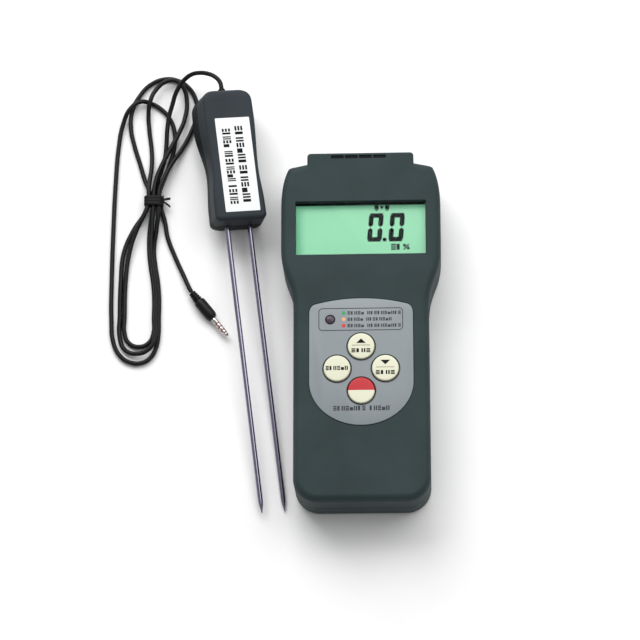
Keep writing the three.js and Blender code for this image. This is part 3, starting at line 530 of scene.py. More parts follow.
def add_lead(material):
    route = TO_TIE + FIRST_TURN + LOOP_A + SECOND_TURN + LOOP_B + THIRD_TURN + LOOP_C + TO_PLUG
    curve = bpy.data.curves.new("lead", "CURVE")
    curve.dimensions = "3D"
    curve.resolution_u = 6
    curve.bevel_depth = LEAD_R * MM
    curve.bevel_resolution = 4
    curve.use_fill_caps = True
    spline = curve.splines.new("BEZIER")
    spline.bezier_points.add(len(route) - 1)
    for knot, spot in zip(spline.bezier_points, route):
        knot.co = Vector(spot) * MM
        knot.handle_left_type = "AUTO"
        knot.handle_right_type = "AUTO"
    curve.materials.append(material)
    lead = bpy.data.objects.new("lead", curve)
    bpy.context.scene.collection.objects.link(lead)
    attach(lead, "probe")
    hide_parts("lead_to_tie", "lead_loop_a", "lead_loop_b", "lead_loop_c", "lead_to_plug", "lead_hank")
    return lead


def add_tie(material):
    """A strap wound three times round the bundle, with its ends twisted together at one side."""
    low, high = corners("lead_tie")
    centre = (low + high) / 2
    half_x = (high.x - low.x) / 2 - 0.45
    half_z = (high.z - low.z) / 2 - 0.45
    turns = 3
    steps = 40
    section = [(-0.8, -0.28), (-0.8, 0.28), (-0.3, 0.42), (0.3, 0.42), (0.8, 0.28), (0.8, -0.28)]
    rings = []
    squareness = 0.6
    for i in range(turns * steps + 1):
        angle = 2 * math.pi * i / steps
        out = Vector((math.cos(angle), 0, math.sin(angle)))
        x = half_x * math.copysign(abs(out.x) ** squareness, out.x)
        z = half_z * math.copysign(abs(out.z) ** squareness, out.z)
        along = (i / (turns * steps) - 0.5) * (high.y - low.y - 1.7)
        rings.append([(centre.x + x + out.x * t, centre.y + along + s, centre.z + z + out.z * t)
                      for s, t in section])
    tie = piece("tie_strap", *loft(rings), material, "probe", "lead_rubber", replaces=["lead_tie"])
    tails = []
    for side in (-1, 1):
        knot = centre + Vector((half_x + 0.2, side * 0.4, 0.4))
        tip = knot + Vector((3.2, side * 1.6 - 0.6, -1.2))
        across = Vector((0, 0.55, 0))
        lift = Vector((0, 0, 0.3))
        tails.append(loft([[knot - across, knot + across, knot + across + lift, knot - across + lift],
                           [(knot + tip) / 2 - across + lift, (knot + tip) / 2 + across + lift,
                            (knot + tip) / 2 + across + lift * 2, (knot + tip) / 2 - across + lift * 2],
                           [tip - across, tip + across, tip + across + lift, tip - across + lift]]))
    for number, (v, f) in enumerate(tails):
        tail = piece("tie_tail_" + str(number + 1), v, f, material, "probe", "lead_rubber")
        tail.parent = tie
    return tie


def plug_place():
    return Matrix.Translation(PLUG_START) @ Matrix.Rotation(PLUG_TURN - math.pi / 2, 4, "Z")


def add_plug(rubber, metal, insulator):
    place = plug_place()
    ribs = [(0, 0.4), (1.35, 0.4)]
    rib_count = 4
    for i in range(rib_count):
        y = 0.5 + i * 1.2
        r = 1.55 + 0.13 * i
        ribs += [(r, y), (r + 0.1, y + 0.1), (r + 0.1, y + 0.6), (r, y + 0.7)]
        ribs += [(r - 0.35, y + 0.75), (r - 0.35, y + 1.15)]
    ribs += [(1.9, 5.4), (0, 5.4)]
    relief = piece("plug_relief", *turned(ribs), rubber, "probe", "lead_rubber", place=place,
                   replaces=["plug_strain_relief"])
    grip = [(0, 5.45), (2.0, 5.45), (2.35, 5.6), (2.6, 6.1), (2.7, 6.8), (2.7, 13.6), (2.62, 14.4),
            (2.45, 15.1), (2.25, 15.6), (2.1, 15.9), (1.9, 16), (0, 16)]
    body = piece("plug_body", *turned(grip), rubber, "probe", "lead_rubber", place=place,
                 replaces=["plug_overmould"])
    made = [relief, body]

    def band(name, profile, material, slot, node):
        made.append(piece(name, *turned(profile, 32), material, "probe", slot, place=place, replaces=[node]))

    y = 16.05
    for name, long in (("sleeve", 3.2), ("ring_rear", 1.4), ("ring_front", 1.4)):
        end = y + long
        contact = [(0, y), (1.2, y), (1.25, y + 0.08), (1.25, end - 0.08), (1.2, end), (0, end)]
        band("plug_contact_" + name, contact, metal, "plated_metal", "plug_" + name)
        y += long + 0.05
        collar = [(0, y), (1.17, y), (1.2, y + 0.1), (1.2, y + 0.4), (1.17, y + 0.5), (0, y + 0.5)]
        band("plug_collar_" + name, collar, insulator, "insulator_red", "insulator_" + name)
        y += 0.55
    tip = [(0, y), (1.2, y), (1.25, y + 0.1), (1.25, y + 0.8), (1.15, y + 1.1), (0.9, y + 1.4),
           (0.85, y + 1.65), (0.95, y + 1.95), (1.18, y + 2.2), (1.15, y + 2.4), (0.7, y + 2.95),
           (0.35, y + 3.2), (0, y + 3.3)]
    band("plug_contact_tip", tip, metal, "plated_metal", "plug_tip")
    return made


# ---- The case ----
def case_half(inset):
    """The outline's right half from the bottom middle to the top middle, drawn in by inset."""
    grip = GRIP_HALF - inset
    head = HEAD_HALF - inset
    shoulder = SHOULDER_HALF - inset
    bottom = CASE_BOTTOM + inset
    top = CASE_TOP - inset
    r = GRIP_CORNER - inset
    points = [(0, bottom)]
    points += corner_arc(grip - r, bottom + r, r, -90, 16)
    for i in range(1, 5):
        points.append((grip, bottom + r + (FLARE_START - bottom - r) * i / 5))
    steps = 24
    middle = (FLARE_START + FLARE_END) / 2
    for i in range(steps + 1):
        t = i / steps
        blend = 3 * t * t * (1 - t) + t ** 3
        y = FLARE_START * (1 - t) ** 3 + middle * 3 * t * (1 - t) + FLARE_END * t ** 3
        points.append((grip + (head - grip) * blend, y))
    points.append((head, (FLARE_END + SHOULDER_BULGE) / 2))
    drop = top - SHOULDER_DROP
    for i in range(steps + 1):
        t = i / steps * 0.96
        x = head * (1 - t) ** 2 + head * 2 * t * (1 - t) + shoulder * t * t
        y = SHOULDER_BULGE * (1 - t) ** 2 + (top - SHOULDER_PULL) * 2 * t * (1 - t) + drop * t * t
        points.append((x, y))
    points.append((shoulder - 0.25, drop - 0.25))
    points.append((shoulder - 0.9, drop + 0.08))
    points.append((NOSE_HALF, top))
    points.append((0, top))
    return points


def case_ring(inset, z):
    half = case_half(inset)
    left = [(-x, y) for x, y in reversed(half[1:-1])]
    return [(x, y, z) for x, y in half + left]


def edge_rings(base, toward):
    """Rings from the case's wall over its rounded edge: toward is 1 at the front and -1 at the back."""
    rings = []
    for i in range(ROUND_STEPS + 1):
        t = math.radians(90 * i / ROUND_STEPS)
        rings.append(case_ring(EDGE_IN * (1 - math.cos(t)), base + toward * EDGE_DEEP * math.sin(t)))
    return rings


def nose_tool(low, high):
    """The nose, with its edges rounded where it meets the front or the back."""
    edge = 1.2
    rings = [(low, 0)]
    if low == NOSE_RISE:
        rings = [(low, edge), (low + 0.35, 0.35), (low + edge, 0)]
    if high == THICK:
        rings += [(high - edge, 0), (high - edge * 0.3, edge * 0.35), (high - edge * 0.08, edge * 0.68),
                  (high, edge)]
    else:
        rings.append((high, 0))
    foot = CASE_TOP - 8
    return loft([[(x, y, z) for x, y in rect(-NOSE_HALF + inset, NOSE_HALF - inset, foot + inset,
                                             NOSE_TOP - inset, 1.6 - inset * 0.5)] for z, inset in rings])


def panel_outline(grow, steps=18):
    """The keypad panel's outline: an arched top, straight sides and a half-round foot."""
    half = PANEL_HALF + grow
    top = PANEL_HIGH.y + grow
    bottom = PANEL_LOW.y - grow
    side_low = -26
    side_high = 5
    corner_pull = 9
    arch_pull = 10.5
    arc_start = (half - 2.7, 9.8 + grow)
    points = []

    def curve(a, b, c):
        for i in range(1, steps + 1):
            t = i / steps
            points.append(tuple(a[k] * (1 - t) ** 2 + b[k] * 2 * t * (1 - t) + c[k] * t * t for k in (0, 1)))

    points.append((half, side_low))
    points.append((half, side_high))
    curve((half, side_high), (half, corner_pull), arc_start)
    curve(arc_start, (arch_pull, top), (0, top))
    curve((0, top), (-arch_pull, top), (-arc_start[0], arc_start[1]))
    curve((-arc_start[0], arc_start[1]), (-half, corner_pull), (-half, side_high))
    turn_steps = 40
    for i in range(turn_steps):
        angle = math.pi + math.pi * i / turn_steps
        points.append((half * math.cos(angle), side_low + (side_low - bottom) * math.sin(angle)))
    return points


SCREW_SPOTS = [middle_of("case_screw_" + str(i)).xy for i in (1, 2, 3, 4)]


def inner_tool(low, high):
    """The hollow of the case between two levels, with its rounded top or bottom edge."""
    edge = 1.6
    levels = []
    if low < WALL + 1:
        levels += [(WALL, WALL + edge), (WALL + 0.6, WALL + 0.5), (WALL + 2, WALL)]
    else:
        levels.append((low, WALL))
    if high > INSIDE_TOP - 1:
        levels += [(INSIDE_TOP - 2, WALL), (INSIDE_TOP - 0.6, WALL + 0.5), (INSIDE_TOP, WALL + edge)]
    else:
        levels.append((high, WALL))
    return loft([case_ring(inset, z) for z, inset in levels])


def add_front(material, ink):
    rings = [case_ring(0, SEAM), *edge_rings(THICK - EDGE_DEEP, 1)]
    front = piece("case_front", *loft(rings), material, "meter", "case_plastic", replaces=["front_cover"])
    carve(front, [nose_tool(SEAM, THICK)], "UNION")
    slot = corners("end_plate")[1].x - 1
    tools = [inner_tool(SEAM - 3, THICK),
             box_tool(-slot, slot, CASE_TOP - 3, NOSE_TOP + 1, SEAM - 4, PLATE_HOLE_HIGH)]
    view = rect(-VIEW_HALF, VIEW_HALF, VIEW_LOW, VIEW_HIGH, 0.4)
    face = rect(-FRAME_HALF, FRAME_HALF, FRAME_LOW, FRAME_HIGH, 0.6)
    funnel = ((view, INSIDE_TOP - 0.5), (view, INSIDE_TOP + 0.3), (face, THICK), (face, THICK + 1))
    tools.append(loft([[(x, y, z) for x, y in outline] for outline, z in funnel]))
    tools.append(prism(panel_outline(0.3), THICK - 0.4, THICK + 1))
    for key in KEYS:
        spot = middle_of(key)
        tools.append(prism(circle(spot.x, spot.y, KEY_HOLE_R), INSIDE_TOP - 1, THICK + 1))
    tools.append(prism(circle(LED.x, LED.y, LED_HOLE_R), INSIDE_TOP - 1, THICK + 1))
    slots = nose_slots()
    tools += [prism(outline, THICK - 0.6, THICK + 1) for outline in slots]
    carve(front, tools)
    soften(front, 0.22)
    flat_marks("nose_slot_shadow", slots, THICK - 0.7, THICK - 0.45, ink, "meter", "dark_plastic")


def nose_slots():
    """Outlines of the four short slots in a row at the nose's end."""
    left, right = -13.3, 12.2
    count = 4
    bridge = 0.6
    pitch = (right - left) / count
    return [rect(left + pitch * i, left + pitch * (i + 1) - bridge, NOSE_TOP - 2.9, NOSE_TOP - 1.4, 0.3)
            for i in range(count)]


def add_back(material):
    edge = list(reversed(edge_rings(EDGE_DEEP, -1)))
    back = piece("case_back", *loft([*edge, case_ring(0, BACK_HIGH.z)]), material, "meter", "case_plastic",
                 replaces=["back_cover"])
    carve(back, [nose_tool(NOSE_RISE, BACK_HIGH.z)], "UNION")
    carve(back, [inner_tool(WALL, BACK_HIGH.z + 2)])
    post_r, shank_r, head_deep = 3.4, 1.4, 3.1
    posts = [prism(circle(spot.x, spot.y, post_r, 24), WALL / 2, BACK_HIGH.z) for spot in SCREW_SPOTS]
    bay_end = 1.4
    walls = box_tool(-BAY_WALL, BAY_WALL, BAY_LOW - bay_end, BAY_HIGH + bay_end, WALL / 2, BACK_HIGH.z)
    carve(back, [*posts, walls], "UNION")
    tools = [box_tool(-BAY_HALF, BAY_HALF, BAY_LOW, BAY_HIGH, -1, BAY_ROOF)]
    gap = 0.3
    door_high = corners("battery_door")[1]
    slot = door_high.x + gap
    slot_end = door_high.y + gap
    slot_low, slot_high = 1.1, 2.5
    tools.append(box_tool(-slot + DOOR_TONGUE, slot - DOOR_TONGUE, CASE_BOTTOM - 1, slot_end, -1, slot_high))
    tools.append(box_tool(-slot, slot, CASE_BOTTOM - 1, slot_end, slot_low, slot_high))
    half = corners("end_plate")[1].x - 1
    tools.append(box_tool(-half, half, CASE_TOP - 3, NOSE_TOP + 1, PLATE_HOLE_LOW, SEAM + 4))
    for spot in SCREW_SPOTS:
        tools.append(prism(circle(spot.x, spot.y, SCREW_HEAD_R, 32), -1, head_deep))
        tools.append(prism(circle(spot.x, spot.y, shank_r, 24), 0, SEAM + 1))
    carve(back, tools)
    soften(back, 0.2)


def add_door(material):
    """The battery door: a slice of the back with a tongue on each side and a thumb patch of grooves."""
    high = corners("battery_door")[1]
    half = high.x - DOOR_TONGUE
    tongue_low = 1.4
    edge = list(reversed(edge_rings(EDGE_DEEP, -1)))
    slab = loft([*edge, case_ring(0, 8)])
    door = piece("door_panel", *slab, material, "battery_door", "case_plastic", replaces=["battery_door"])
    carve(door, [box_tool(-high.x, high.x, CASE_BOTTOM - 1, high.y, tongue_low, high.z)], "INTERSECT")
    outer = piece("door_outer", *slab, material, None, None)
    carve(outer, [box_tool(-half, half, CASE_BOTTOM - 1, high.y, -1, tongue_low + 0.2)], "INTERSECT")
    verts = [v.co / MM for v in outer.data.vertices]
    faces = [tuple(p.vertices) for p in outer.data.polygons]
    bpy.data.objects.remove(outer)
    carve(door, [(verts, faces)], "UNION")
    grooves = []
    groove_count = 7
    pitch = 1.9
    for i in range(groove_count):
        y = high.y - 12 - i * pitch
        wide = 9 - abs(i - groove_count // 2) * 0.9
        grooves.append(box_tool(-wide, wide, y, y + 0.9, -1, 0.5, 0.4))
    carve(door, grooves)
    soften(door, 0.18)


def add_end_plate(material):
    """The plate in the nose: a shallow recess inside its rim, and the jack socket's hole."""
    low, high = corners("end_plate")
    half = high.x - 1.3
    plate_low, plate_high, corner = 7.8, 21.7, 0.8
    rim = 1.2
    recess = 0.35
    jack = middle_of("jack_socket")
    jack_r = 2.9
    place = Matrix.Rotation(math.radians(90), 4, "X")

    def along_y(outline, start, end):
        verts, faces = prism(outline, start, end)
        return [place @ Vector(v) for v in verts], faces

    verts, faces = prism(rect(-half, half, plate_low, plate_high, corner), -high.y, -(CASE_TOP - 3))
    plate = piece("end_cover", verts, faces, material, "meter", "dark_plastic", place=place,
                  replaces=["end_plate"])
    carve(plate, [box_tool(low.x, high.x, low.y, low.y + 1.1, low.z, high.z)], "UNION")
    carve(plate, [along_y(circle(jack.x, jack.z, jack_r), -high.y - 2, -60)])
    inside = rect(-half + rim, half - rim, plate_low + rim, plate_high - rim, corner)
    carve(plate, [along_y(inside, -high.y - 1, -high.y + recess)])
    soften(plate, 0.15)


# ---- Display ----
def add_display(clear, lcd, ink, frame_dark):
    low, high = corners("window_lens")
    lens = piece("display_lens", *box_tool(low.x, high.x, low.y, high.y, low.z, high.z, 1.2), clear, "meter",
                 "lens_clear", replaces=["window_lens"])
    soften(lens, 0.15)
    low, high = corners("lcd_glass")
    glass = piece("lcd_screen", *box_tool(low.x, high.x, low.y, high.y, low.z, high.z, 0.3), lcd, "meter",
                  "lcd_green", replaces=["lcd_glass"])
    soften(glass, 0.1)
    top = high.z + 0.01
    mark_top = top + 0.04
    lean = math.tan(math.radians(5))

    def leaning(points, base):
        return [(x + (y - base) * lean, y) for x, y in points]

    def zero(x, y, wide, tall, thick):
        """The six lit segments of a zero, each a bar with pointed ends."""
        gap = 0.13
        cut = thick * 0.5
        shapes = []
        half = tall / 2
        for x0 in (x, x + wide - thick):
            for y0 in (y, y + half):
                a, b = y0 + gap, y0 + half - gap
                shapes.append([(x0, a + cut), (x0 + thick / 2, a), (x0 + thick, a + cut),
                               (x0 + thick, b - cut), (x0 + thick / 2, b), (x0, b - cut)])
        for y0 in (y, y + tall - thick):
            a, b = x + gap, x + wide - gap
            inner = -1 if y0 > y else 1
            edge, inside = (y0, y0 + thick) if inner > 0 else (y0 + thick, y0)
            shapes.append([(a, edge), (b, edge), (b - thick, inside), (a + thick, inside)])
        return [leaning(shape, y) for shape in shapes]

    digit_low, digit_tall, digit_wide, stroke = 40.4, 13.5, 6.6, 2.15
    first_x, second_x = 2.7, 12.3
    shapes = zero(first_x, digit_low, digit_wide, digit_tall, stroke)
    shapes += zero(second_x, digit_low, digit_wide, digit_tall, stroke)
    shapes.append(circle(10.7, digit_low + 0.9, 0.95, 20))
    unit_low, unit_tall = 36.4, 2.8
    shapes += stand_in_words(13.6, unit_low, unit_tall, (2,), pitch=2.5, gap=0.14)
    percent = 18.9
    percent_wide = 3.1
    dot = 0.7
    shapes.append(circle(percent + dot, unit_low + unit_tall - dot, dot, 16))
    shapes.append(circle(percent + percent_wide - dot, unit_low + dot, dot, 16))
    unit_high = unit_low + unit_tall
    shapes.append([(percent, unit_low), (percent + dot, unit_low), (percent + percent_wide, unit_high),
                   (percent + percent_wide - dot, unit_high)])
    icon_low, icon_high = 55.0, LCD_TOP - 0.1
    for x in (6.2, 11.0):
        shapes.append(rect(x, x + 1.9, icon_low + 0.7, icon_high, 0.3))
        shapes.append(rect(x + 0.5, x + 1.4, icon_low, icon_low + 0.45))
    shapes.append([(8.6, icon_high - 0.4), (10.5, icon_high - 0.4), (9.55, icon_low + 0.7)])
    flat_marks("lcd_segments", shapes, top, mark_top, ink, "meter", "dark_plastic")
    line = 0.35
    for name, material, start, end in (("lcd_surround", frame_dark, line, 3), ("lcd_line", ink, 0, line)):
        out_x = min(high.x, VIEW_HALF + 0.6 + end)
        out_low = max(low.y, VIEW_LOW - 0.6 - end)
        rim = piece(name, *box_tool(-out_x, out_x, out_low, min(high.y, LCD_TOP + end), top, top + 0.12, 0.3),
                    material, "meter", "dark_plastic")
        in_x = VIEW_HALF + 0.6 + start
        carve(rim, [box_tool(-in_x, in_x, VIEW_LOW - 0.6 - start, LCD_TOP + start, top - 1, top + 1, 0.3)])


# ---- Keypad ----
def ring_outline_piece(name, outer, inner, low, high, material, body, slot):
    """A flat closed band between two outlines with the same number of points."""
    rings = [[(x, y, low) for x, y in outer], [(x, y, high) for x, y in outer],
             [(x, y, high) for x, y in inner], [(x, y, low) for x, y in inner],
             [(x, y, low) for x, y in outer]]
    verts, faces = loft(rings, cap=False)
    return piece(name, verts, faces, material, body, slot)


def add_panel(film, ink, green, orange, red):
    base = PANEL_LOW.z
    inset = 0.25
    levels = ((0, base), (0, PANEL_TOP - inset), (-0.08, PANEL_TOP - 0.08), (-inset, PANEL_TOP))
    rings = [[(x, y, z) for x, y in panel_outline(grow)] for grow, z in levels]
    panel = piece("panel_film", *loft(rings), film, "meter", "panel_film", replaces=["keypad_panel"])
    holes = []
    for key in KEYS:
        spot = middle_of(key)
        holes.append(prism(circle(spot.x, spot.y, KEY_HOLE_R, 64), base - 1, PANEL_TOP + 1))
        # A thin dark ring on the film just outside each key hole: painted shadow of the gap round the key,
        # added beside the real gap.
        outer = circle(spot.x, spot.y, KEY_HOLE_R + 0.25, 64)
        inner = circle(spot.x, spot.y, KEY_HOLE_R + 0.02, 64)
        ring_outline_piece("ring_" + key, outer, inner, PANEL_TOP - 0.02, PANEL_TOP + 0.05, ink, "meter",
                           "dark_plastic")
    holes.append(prism(circle(LED.x, LED.y, LED_HOLE_R, 40), base - 1, PANEL_TOP + 1))
    carve(panel, holes)
    tidy(panel.data, CREASE)
    mark_low, mark_high = PANEL_TOP + 0.005, PANEL_TOP + 0.05
    line = 0.32
    left, right, low, high, corner = -18.9, 18.7, -2.6, 7.9, 1.8
    inside = rect(left + line, right - line, low + line, high - line, corner - line)
    ring_outline_piece("light_box", rect(left, right, low, high, corner), inside, mark_low, mark_high, ink,
                       "meter", "dark_plastic")
    rows = ((5.6, green, (5, 10)), (2.65, orange, (5, 8)), (-0.3, red, (5, 10)))
    for number, (y, color, words) in enumerate(rows):
        dot = circle(-7.7, y, 0.85, 24)
        flat_marks("mark_dot_" + str(number + 1), [dot], mark_low, mark_high, color, "meter", "panel_film")
        pitch = 1.52 if words[1] > 8 else 1.44
        row = stand_in_words(-6.0, y - 0.75, 1.5, words, pitch=pitch)
        flat_marks("mark_row_" + str(number + 1), row, mark_low, mark_high, ink, "meter", "dark_plastic")
    flat_marks("mark_legend", stand_in_words(-12.4, -39.4, 2.1, (8, 5), pitch=1.82), mark_low, mark_high, ink,
               "meter", "dark_plastic")


def key_profile(base, top):
    """From the flange under the cover to the slightly domed cap."""
    flange_top = INSIDE_TOP - 0.4
    edge = 0.55
    round_off = 0.1
    dome = 0.1
    points = [(0, base), (KEY_FLANGE_R - round_off, base), (KEY_FLANGE_R, base + round_off),
              (KEY_FLANGE_R, flange_top - round_off), (KEY_FLANGE_R - round_off, flange_top),
              (KEY_R, flange_top)]
    for i in range(7):
        t = math.radians(90 * i / 6)
        points.append((KEY_R - edge * (1 - math.cos(t)), top - dome - edge * (1 - math.sin(t))))
    for share in (0.8, 0.6, 0.4, 0.2, 0):
        points.append(((KEY_R - edge) * share, top - dome * share ** 2))
    return points


def add_keys(cream, red, ink, pale_ink):
    for key in KEYS:
        low, high = corners(key)
        spot = (low + high) / 2
        place = Matrix.Translation((spot.x, spot.y, 0))
        slot = "key_red" if key == "key_power" else "key_cream"
        verts, faces = turned(key_profile(low.z, high.z), 64, axis="Z")
        cap = piece("cap_" + key, verts, faces, cream, key, slot, place=place, replaces=[key])
        if key == "key_power":
            paint_upper_half(cap, red, spot.y)
        mark_low, mark_high = high.z - 0.2, high.z + 0.02
        shapes = []
        if key in ("key_up", "key_down"):
            way = 1 if key == "key_up" else -1
            middle = 2.25 if key == "key_up" else 2.55
            shapes.append([(-2.1, middle - way * 1.0), (2.1, middle - way * 1.0), (0, middle + way * 1.1)])
            shapes += stand_in_words(-4.25, -3.0, 1.8, (4,), pitch=2.2)
            bar = [rect(-4.0, 4.0, 0.1, 0.5)]
            flat_marks("bar_" + key, bar, mark_low, mark_high, pale_ink, key, "panel_film", place=place)
        if key == "key_select":
            shapes += stand_in_words(-4.95, -0.9, 1.9, (6,), pitch=1.68)
        if shapes:
            flat_marks("print_" + key, shapes, mark_low, mark_high, ink, key, "dark_plastic", place=place)


def paint_upper_half(cap, red, middle):
    bm = bmesh.new()
    bm.from_mesh(cap.data)
    bmesh.ops.bisect_plane(bm, geom=[*bm.verts, *bm.edges, *bm.faces], plane_co=(0, middle * MM, 0),
                           plane_no=(0, 1, 0))
    cap.data.materials.append(red)
    for face in bm.faces:
        if face.calc_center_median().y > middle * MM:
            face.material_index = 1
    bm.to_mesh(cap.data)
    bm.free()
    cap.data.set_sharp_from_angle(angle=math.radians(CREASE))


def add_indicator(material):
    low, high = corners("indicator_led")
    profile = [(0, low.z), (1.95, low.z), (2, low.z + 0.1), (2, high.z - 0.95)]
    for i in range(9):
        t = math.radians(90 * i / 8)
        profile.append((2 * math.cos(t), high.z - 0.8 + 0.8 * math.sin(t)))
    place = Matrix.Translation((LED.x, LED.y, 0))
    piece("light_dome", *turned(profile, 40, axis="Z"), material, "meter", "indicator_dark", place=place,
          replaces=["indicator_led"])


# ---- The probe ----
PROBE = (Matrix.Translation(PROBE_FOOT) @ Matrix.Rotation(PROBE_YAW, 4, "Z")
         @ Matrix.Rotation(PROBE_PITCH, 4, "X") @ Matrix.Rotation(PROBE_ROLL, 4, "Y"))
# Share of the length, half width at the back, depth behind the pins, and flare from the front to the back.
HANDLE_STATIONS = [(0, 12.2, 9.5, 0.3), (0.12, 12.1, 9.5, 0.3), (0.38, 11.2, 8.5, 0.4),
                   (0.78, 13.9, 12.5, 2.2), (1, 13.7, 12.3, 2.2)]
LABEL = {"x": 1, "half": 8, "low": 3.7, "high": 48.6}


def handle_size(share):
    """The handle's half width, depth and flare at a share of its length; it narrows at the waist."""
    at = 1
    while at < len(HANDLE_STATIONS) - 1 and HANDLE_STATIONS[at][0] < share:
        at += 1
    start, end = HANDLE_STATIONS[at - 1], HANDLE_STATIONS[at]
    t = min(1, max(0, (share - start[0]) / (end[0] - start[0])))
    t = t * t * (3 - 2 * t)
    return [start[k] + (end[k] - start[k]) * t for k in (1, 2, 3)]


def end_inset(distance, r):
    if distance >= r:
        return 0
    return r - math.sqrt(max(0, r * r - (r - distance) ** 2))


def handle_ring(y, inset):
    width, depth, flare = handle_size(y / HANDLE_LONG)
    from_top = HANDLE_LONG - inset - y
    from_foot = y - inset
    half = width - inset - end_inset(from_top, 6) - end_inset(from_foot, 2.5)
    front = HANDLE_FRONT - inset - end_inset(from_top, 4) - end_inset(from_foot, 2)
    back = depth - inset - end_inset(from_top, 5) - end_inset(from_foot, 2.5)
    ring = []
    steps = 8
    narrow = half - flare
    front_r = 1.7
    back_r = min(5, half * 0.9)
    ring_corners = ((half, -back, back_r, -90), (narrow, front, front_r, 0), (-narrow, front, front_r, 90),
                    (-half, -back, back_r, 180))
    for x, z, r, start in ring_corners:
        arc = corner_arc(x - math.copysign(r, x), z - math.copysign(r, z), r, start, steps)
        ring += [(across, y, up) for across, up in arc]
    return ring


def handle_block(inset):
    rows = [inset + d for d in (0.01, 0.15, 0.45, 0.9, 1.5, 2.1, 2.5)]
    rows += [share / 40 * HANDLE_LONG for share in range(4, 35)]
    rows += [HANDLE_LONG - inset - d for d in (6, 4.8, 3.6, 2.5, 1.6, 0.9, 0.4, 0.12, 0.01)]
    return loft([handle_ring(y, inset) for y in rows])


def along_probe(x, y0, y1, r, sides=32):
    return loft([[(x + r * math.cos(2 * math.pi * i / sides), y, r * math.sin(2 * math.pi * i / sides))
                  for i in range(sides)] for y in (y0, y1)])


def add_handle(front_plastic, back_plastic):
    far = 40
    pin_holes = [along_probe(side * PIN_SPREAD, -1, 14, PIN_R + 0.12) for side in (-1, 1)]
    lead_hole = along_probe(0, HANDLE_LONG - 10, HANDLE_LONG + 1, 2.3)
    halves = (("handle_face", "handle_front_shell", front_plastic, 0.15, far, "case_plastic"),
              ("handle_rear", "handle_back_shell", back_plastic, -far, -0.15, "dark_plastic"))
    for name, node, material, low, high, slot in halves:
        shell = piece(name, *handle_block(0), material, "probe", slot, replaces=[node])
        carve(shell, [handle_block(2)])
        carve(shell, [box_tool(-far, far, -far, 3 * far, low, high)], "INTERSECT")
        tools = [*pin_holes, lead_hole]
        if name == "handle_face":
            gap = 0.1
            half = LABEL["half"] + gap
            tools.append(box_tool(LABEL["x"] - half, LABEL["x"] + half, LABEL["low"] - gap,
                                  LABEL["high"] + gap, HANDLE_FRONT - 0.3, HANDLE_FRONT + 1, 0.4))
        else:
            tools += [prism(circle(0, y, HANDLE_SCREW_HOLE_R, 32), -20, -5) for y in HANDLE_SCREW_AT]
        carve(shell, tools)
        soften(shell, 0.2)
        shell.data.transform(Matrix.Scale(1 / MM, 4))
        shell.data.transform(PROBE)
        shell.data.transform(Matrix.Scale(MM, 4))


def add_label(paper, ink):
    top = HANDLE_FRONT + 0.1
    middle, half = LABEL["x"], LABEL["half"]
    sheet = box_tool(middle - half, middle + half, LABEL["low"], LABEL["high"], top - 0.25, top, 0.35)
    piece("label_sheet", *sheet, paper, "probe", "label_paper", place=PROBE, replaces=["handle_label"])
    along = PROBE @ Matrix.Rotation(math.radians(-90), 4, "Z")
    # Along the handle, from its head to its foot: the first row is on the right and the second on the left.
    first = stand_in_words(-LABEL["high"] + 4.2, middle + 0.6, 3.6, (14,), pitch=2.7)
    second = stand_in_words(-LABEL["high"] + 5.2, middle - 5.4, 3.8, (5, 8, 5), pitch=1.86)
    flat_marks("label_rows", first + second, top - 0.005, top + 0.03, ink, "probe", "dark_plastic",
               place=along)


def add_pins(steel):
    for side, name in ((-1, "pin_left"), (1, "pin_right")):
        point = [(0, 0), (0.12, 0.15), (0.3, 0.8), (0.6, 2.2), (0.9, 3.8), (1.08, 5.0), (PIN_R, 6.2)]
        profile = [(r, -PIN_OUT + y) for r, y in point]
        profile += [(PIN_R, -60), (PIN_R, 0), (PIN_R, PIN_IN), (0, PIN_IN)]
        place = PROBE @ Matrix.Translation((side * PIN_SPREAD, 0, 0))
        piece("shaft_" + name, *turned(profile, 32), steel, "probe", "pin_steel", place=place,
              replaces=[name])


def add_boot(rubber):
    top = HANDLE_LONG
    out = 3
    profile = [(0, top - 4.5), (3.2, top - 4.5), (3.2, top - 2.4), (1.95, top - 2.2), (1.95, top + 0.2)]
    rib_count = 3
    for i in range(rib_count):
        y = top + 0.35 + i * 0.9
        r = 1.95 - 0.14 * i
        profile += [(r, y), (r, y + 0.4), (r - 0.25, y + 0.5), (r - 0.25, y + 0.8)]
    profile += [(1.35, top + out), (0, top + out)]
    piece("boot_ribbed", *turned(profile, 32), rubber, "probe", "lead_rubber", place=PROBE,
          replaces=["lead_boot"])


# ---- CAD nodes that show as they are, with better materials ----
def finish_nodes(materials):
    for name, material in materials.items():
        obj = nodes[name]
        obj.data.materials.clear()
        obj.data.materials.append(material)


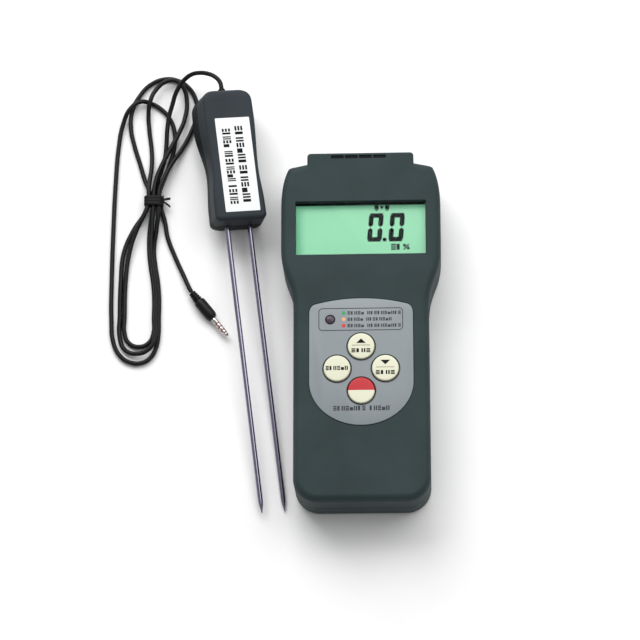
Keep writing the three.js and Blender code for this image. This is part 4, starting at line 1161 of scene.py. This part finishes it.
def main():
    add_camera()
    add_studio()
    rubber = mottled("lead_rubber", (0.006, 0.006, 0.007), 0.38, grain=1800, strength=0.15, shine=0.2)
    metal = brushed_metal("plug_nickel", (0.62, 0.60, 0.58), 0.22)
    insulator = mottled("collar_red", (0.28, 0.04, 0.03), 0.4)
    tie = add_tie(mottled("tie_rubber", (0.006, 0.006, 0.006), 0.5, grain=900, shine=0.15))
    plug = add_plug(rubber, metal, insulator)
    add_lead(rubber)
    case = case_plastic("case_grey_green", (0.032, 0.048, 0.050), 0.55)
    dark = case_plastic("case_dark", (0.009, 0.012, 0.012), 0.55)
    ink = mottled("ink_black", (0.008, 0.009, 0.011), 0.7, contrast=0.2, shine=0.1)
    pale_ink = mottled("ink_grey", (0.42, 0.41, 0.33), 0.6)
    add_front(case, ink)
    add_back(case)
    add_door(case)
    add_end_plate(dark)
    add_display(clear_plastic("lens_clear"), lcd_material(),
                mottled("lcd_ink", (0.004, 0.009, 0.009), 0.7, shine=0.05), dark)
    film = mottled("film_grey", (0.246, 0.278, 0.296), 0.45, grain=5200, strength=0.12, contrast=0.03)
    add_panel(film, mottled("film_ink", (0.022, 0.028, 0.033), 0.5),
              mottled("dot_green", (0.05, 0.33, 0.12), 0.5), mottled("dot_orange", (0.82, 0.38, 0.18), 0.5),
              mottled("dot_red", (0.62, 0.03, 0.04), 0.5))
    cream = mottled("key_cream", (0.74, 0.74, 0.575), 0.38, grain=3600, strength=0.08, contrast=0.03)
    red = mottled("key_red", (0.51, 0.026, 0.034), 0.38, grain=3600, strength=0.08, contrast=0.05)
    add_keys(cream, red, ink, pale_ink)
    add_indicator(mottled("indicator_dome", (0.07, 0.05, 0.065), 0.12, strength=0.02))
    add_handle(case_plastic("handle_grey", (0.032, 0.040, 0.047), 0.5), dark)
    add_label(mottled("label_paper", (0.84, 0.86, 0.86), 0.35, grain=1500, strength=0.06, contrast=0.02), ink)
    add_pins(brushed_metal("pin_steel", (0.30, 0.28, 0.37), 0.18, stretch=(30, 1, 30)))
    add_boot(rubber)
    screw = brushed_metal("screw_zinc", (0.55, 0.55, 0.57), 0.3)
    plate = brushed_metal("contact_nickel", (0.66, 0.66, 0.67), 0.25)
    board = mottled("board_green", (0.02, 0.13, 0.05), 0.35, grain=700, contrast=0.35)
    wrap = brushed_metal("cell_wrap", (0.08, 0.16, 0.42), 0.3)
    looks = {"main_board": board, "key_mat": mottled("mat_rubber", (0.04, 0.04, 0.045), 0.7),
             "jack_socket": dark, "lcd_backlight": mottled("white_plastic", (0.82, 0.83, 0.80), 0.5),
             "pin_holder": mottled("holder_white", (0.80, 0.79, 0.75), 0.5)}
    for name in nodes:
        if "screw" in name:
            looks[name] = screw
        elif name.startswith("contact_"):
            looks[name] = plate
        elif name.startswith("cell_"):
            looks[name] = wrap
    finish_nodes(looks)


main()
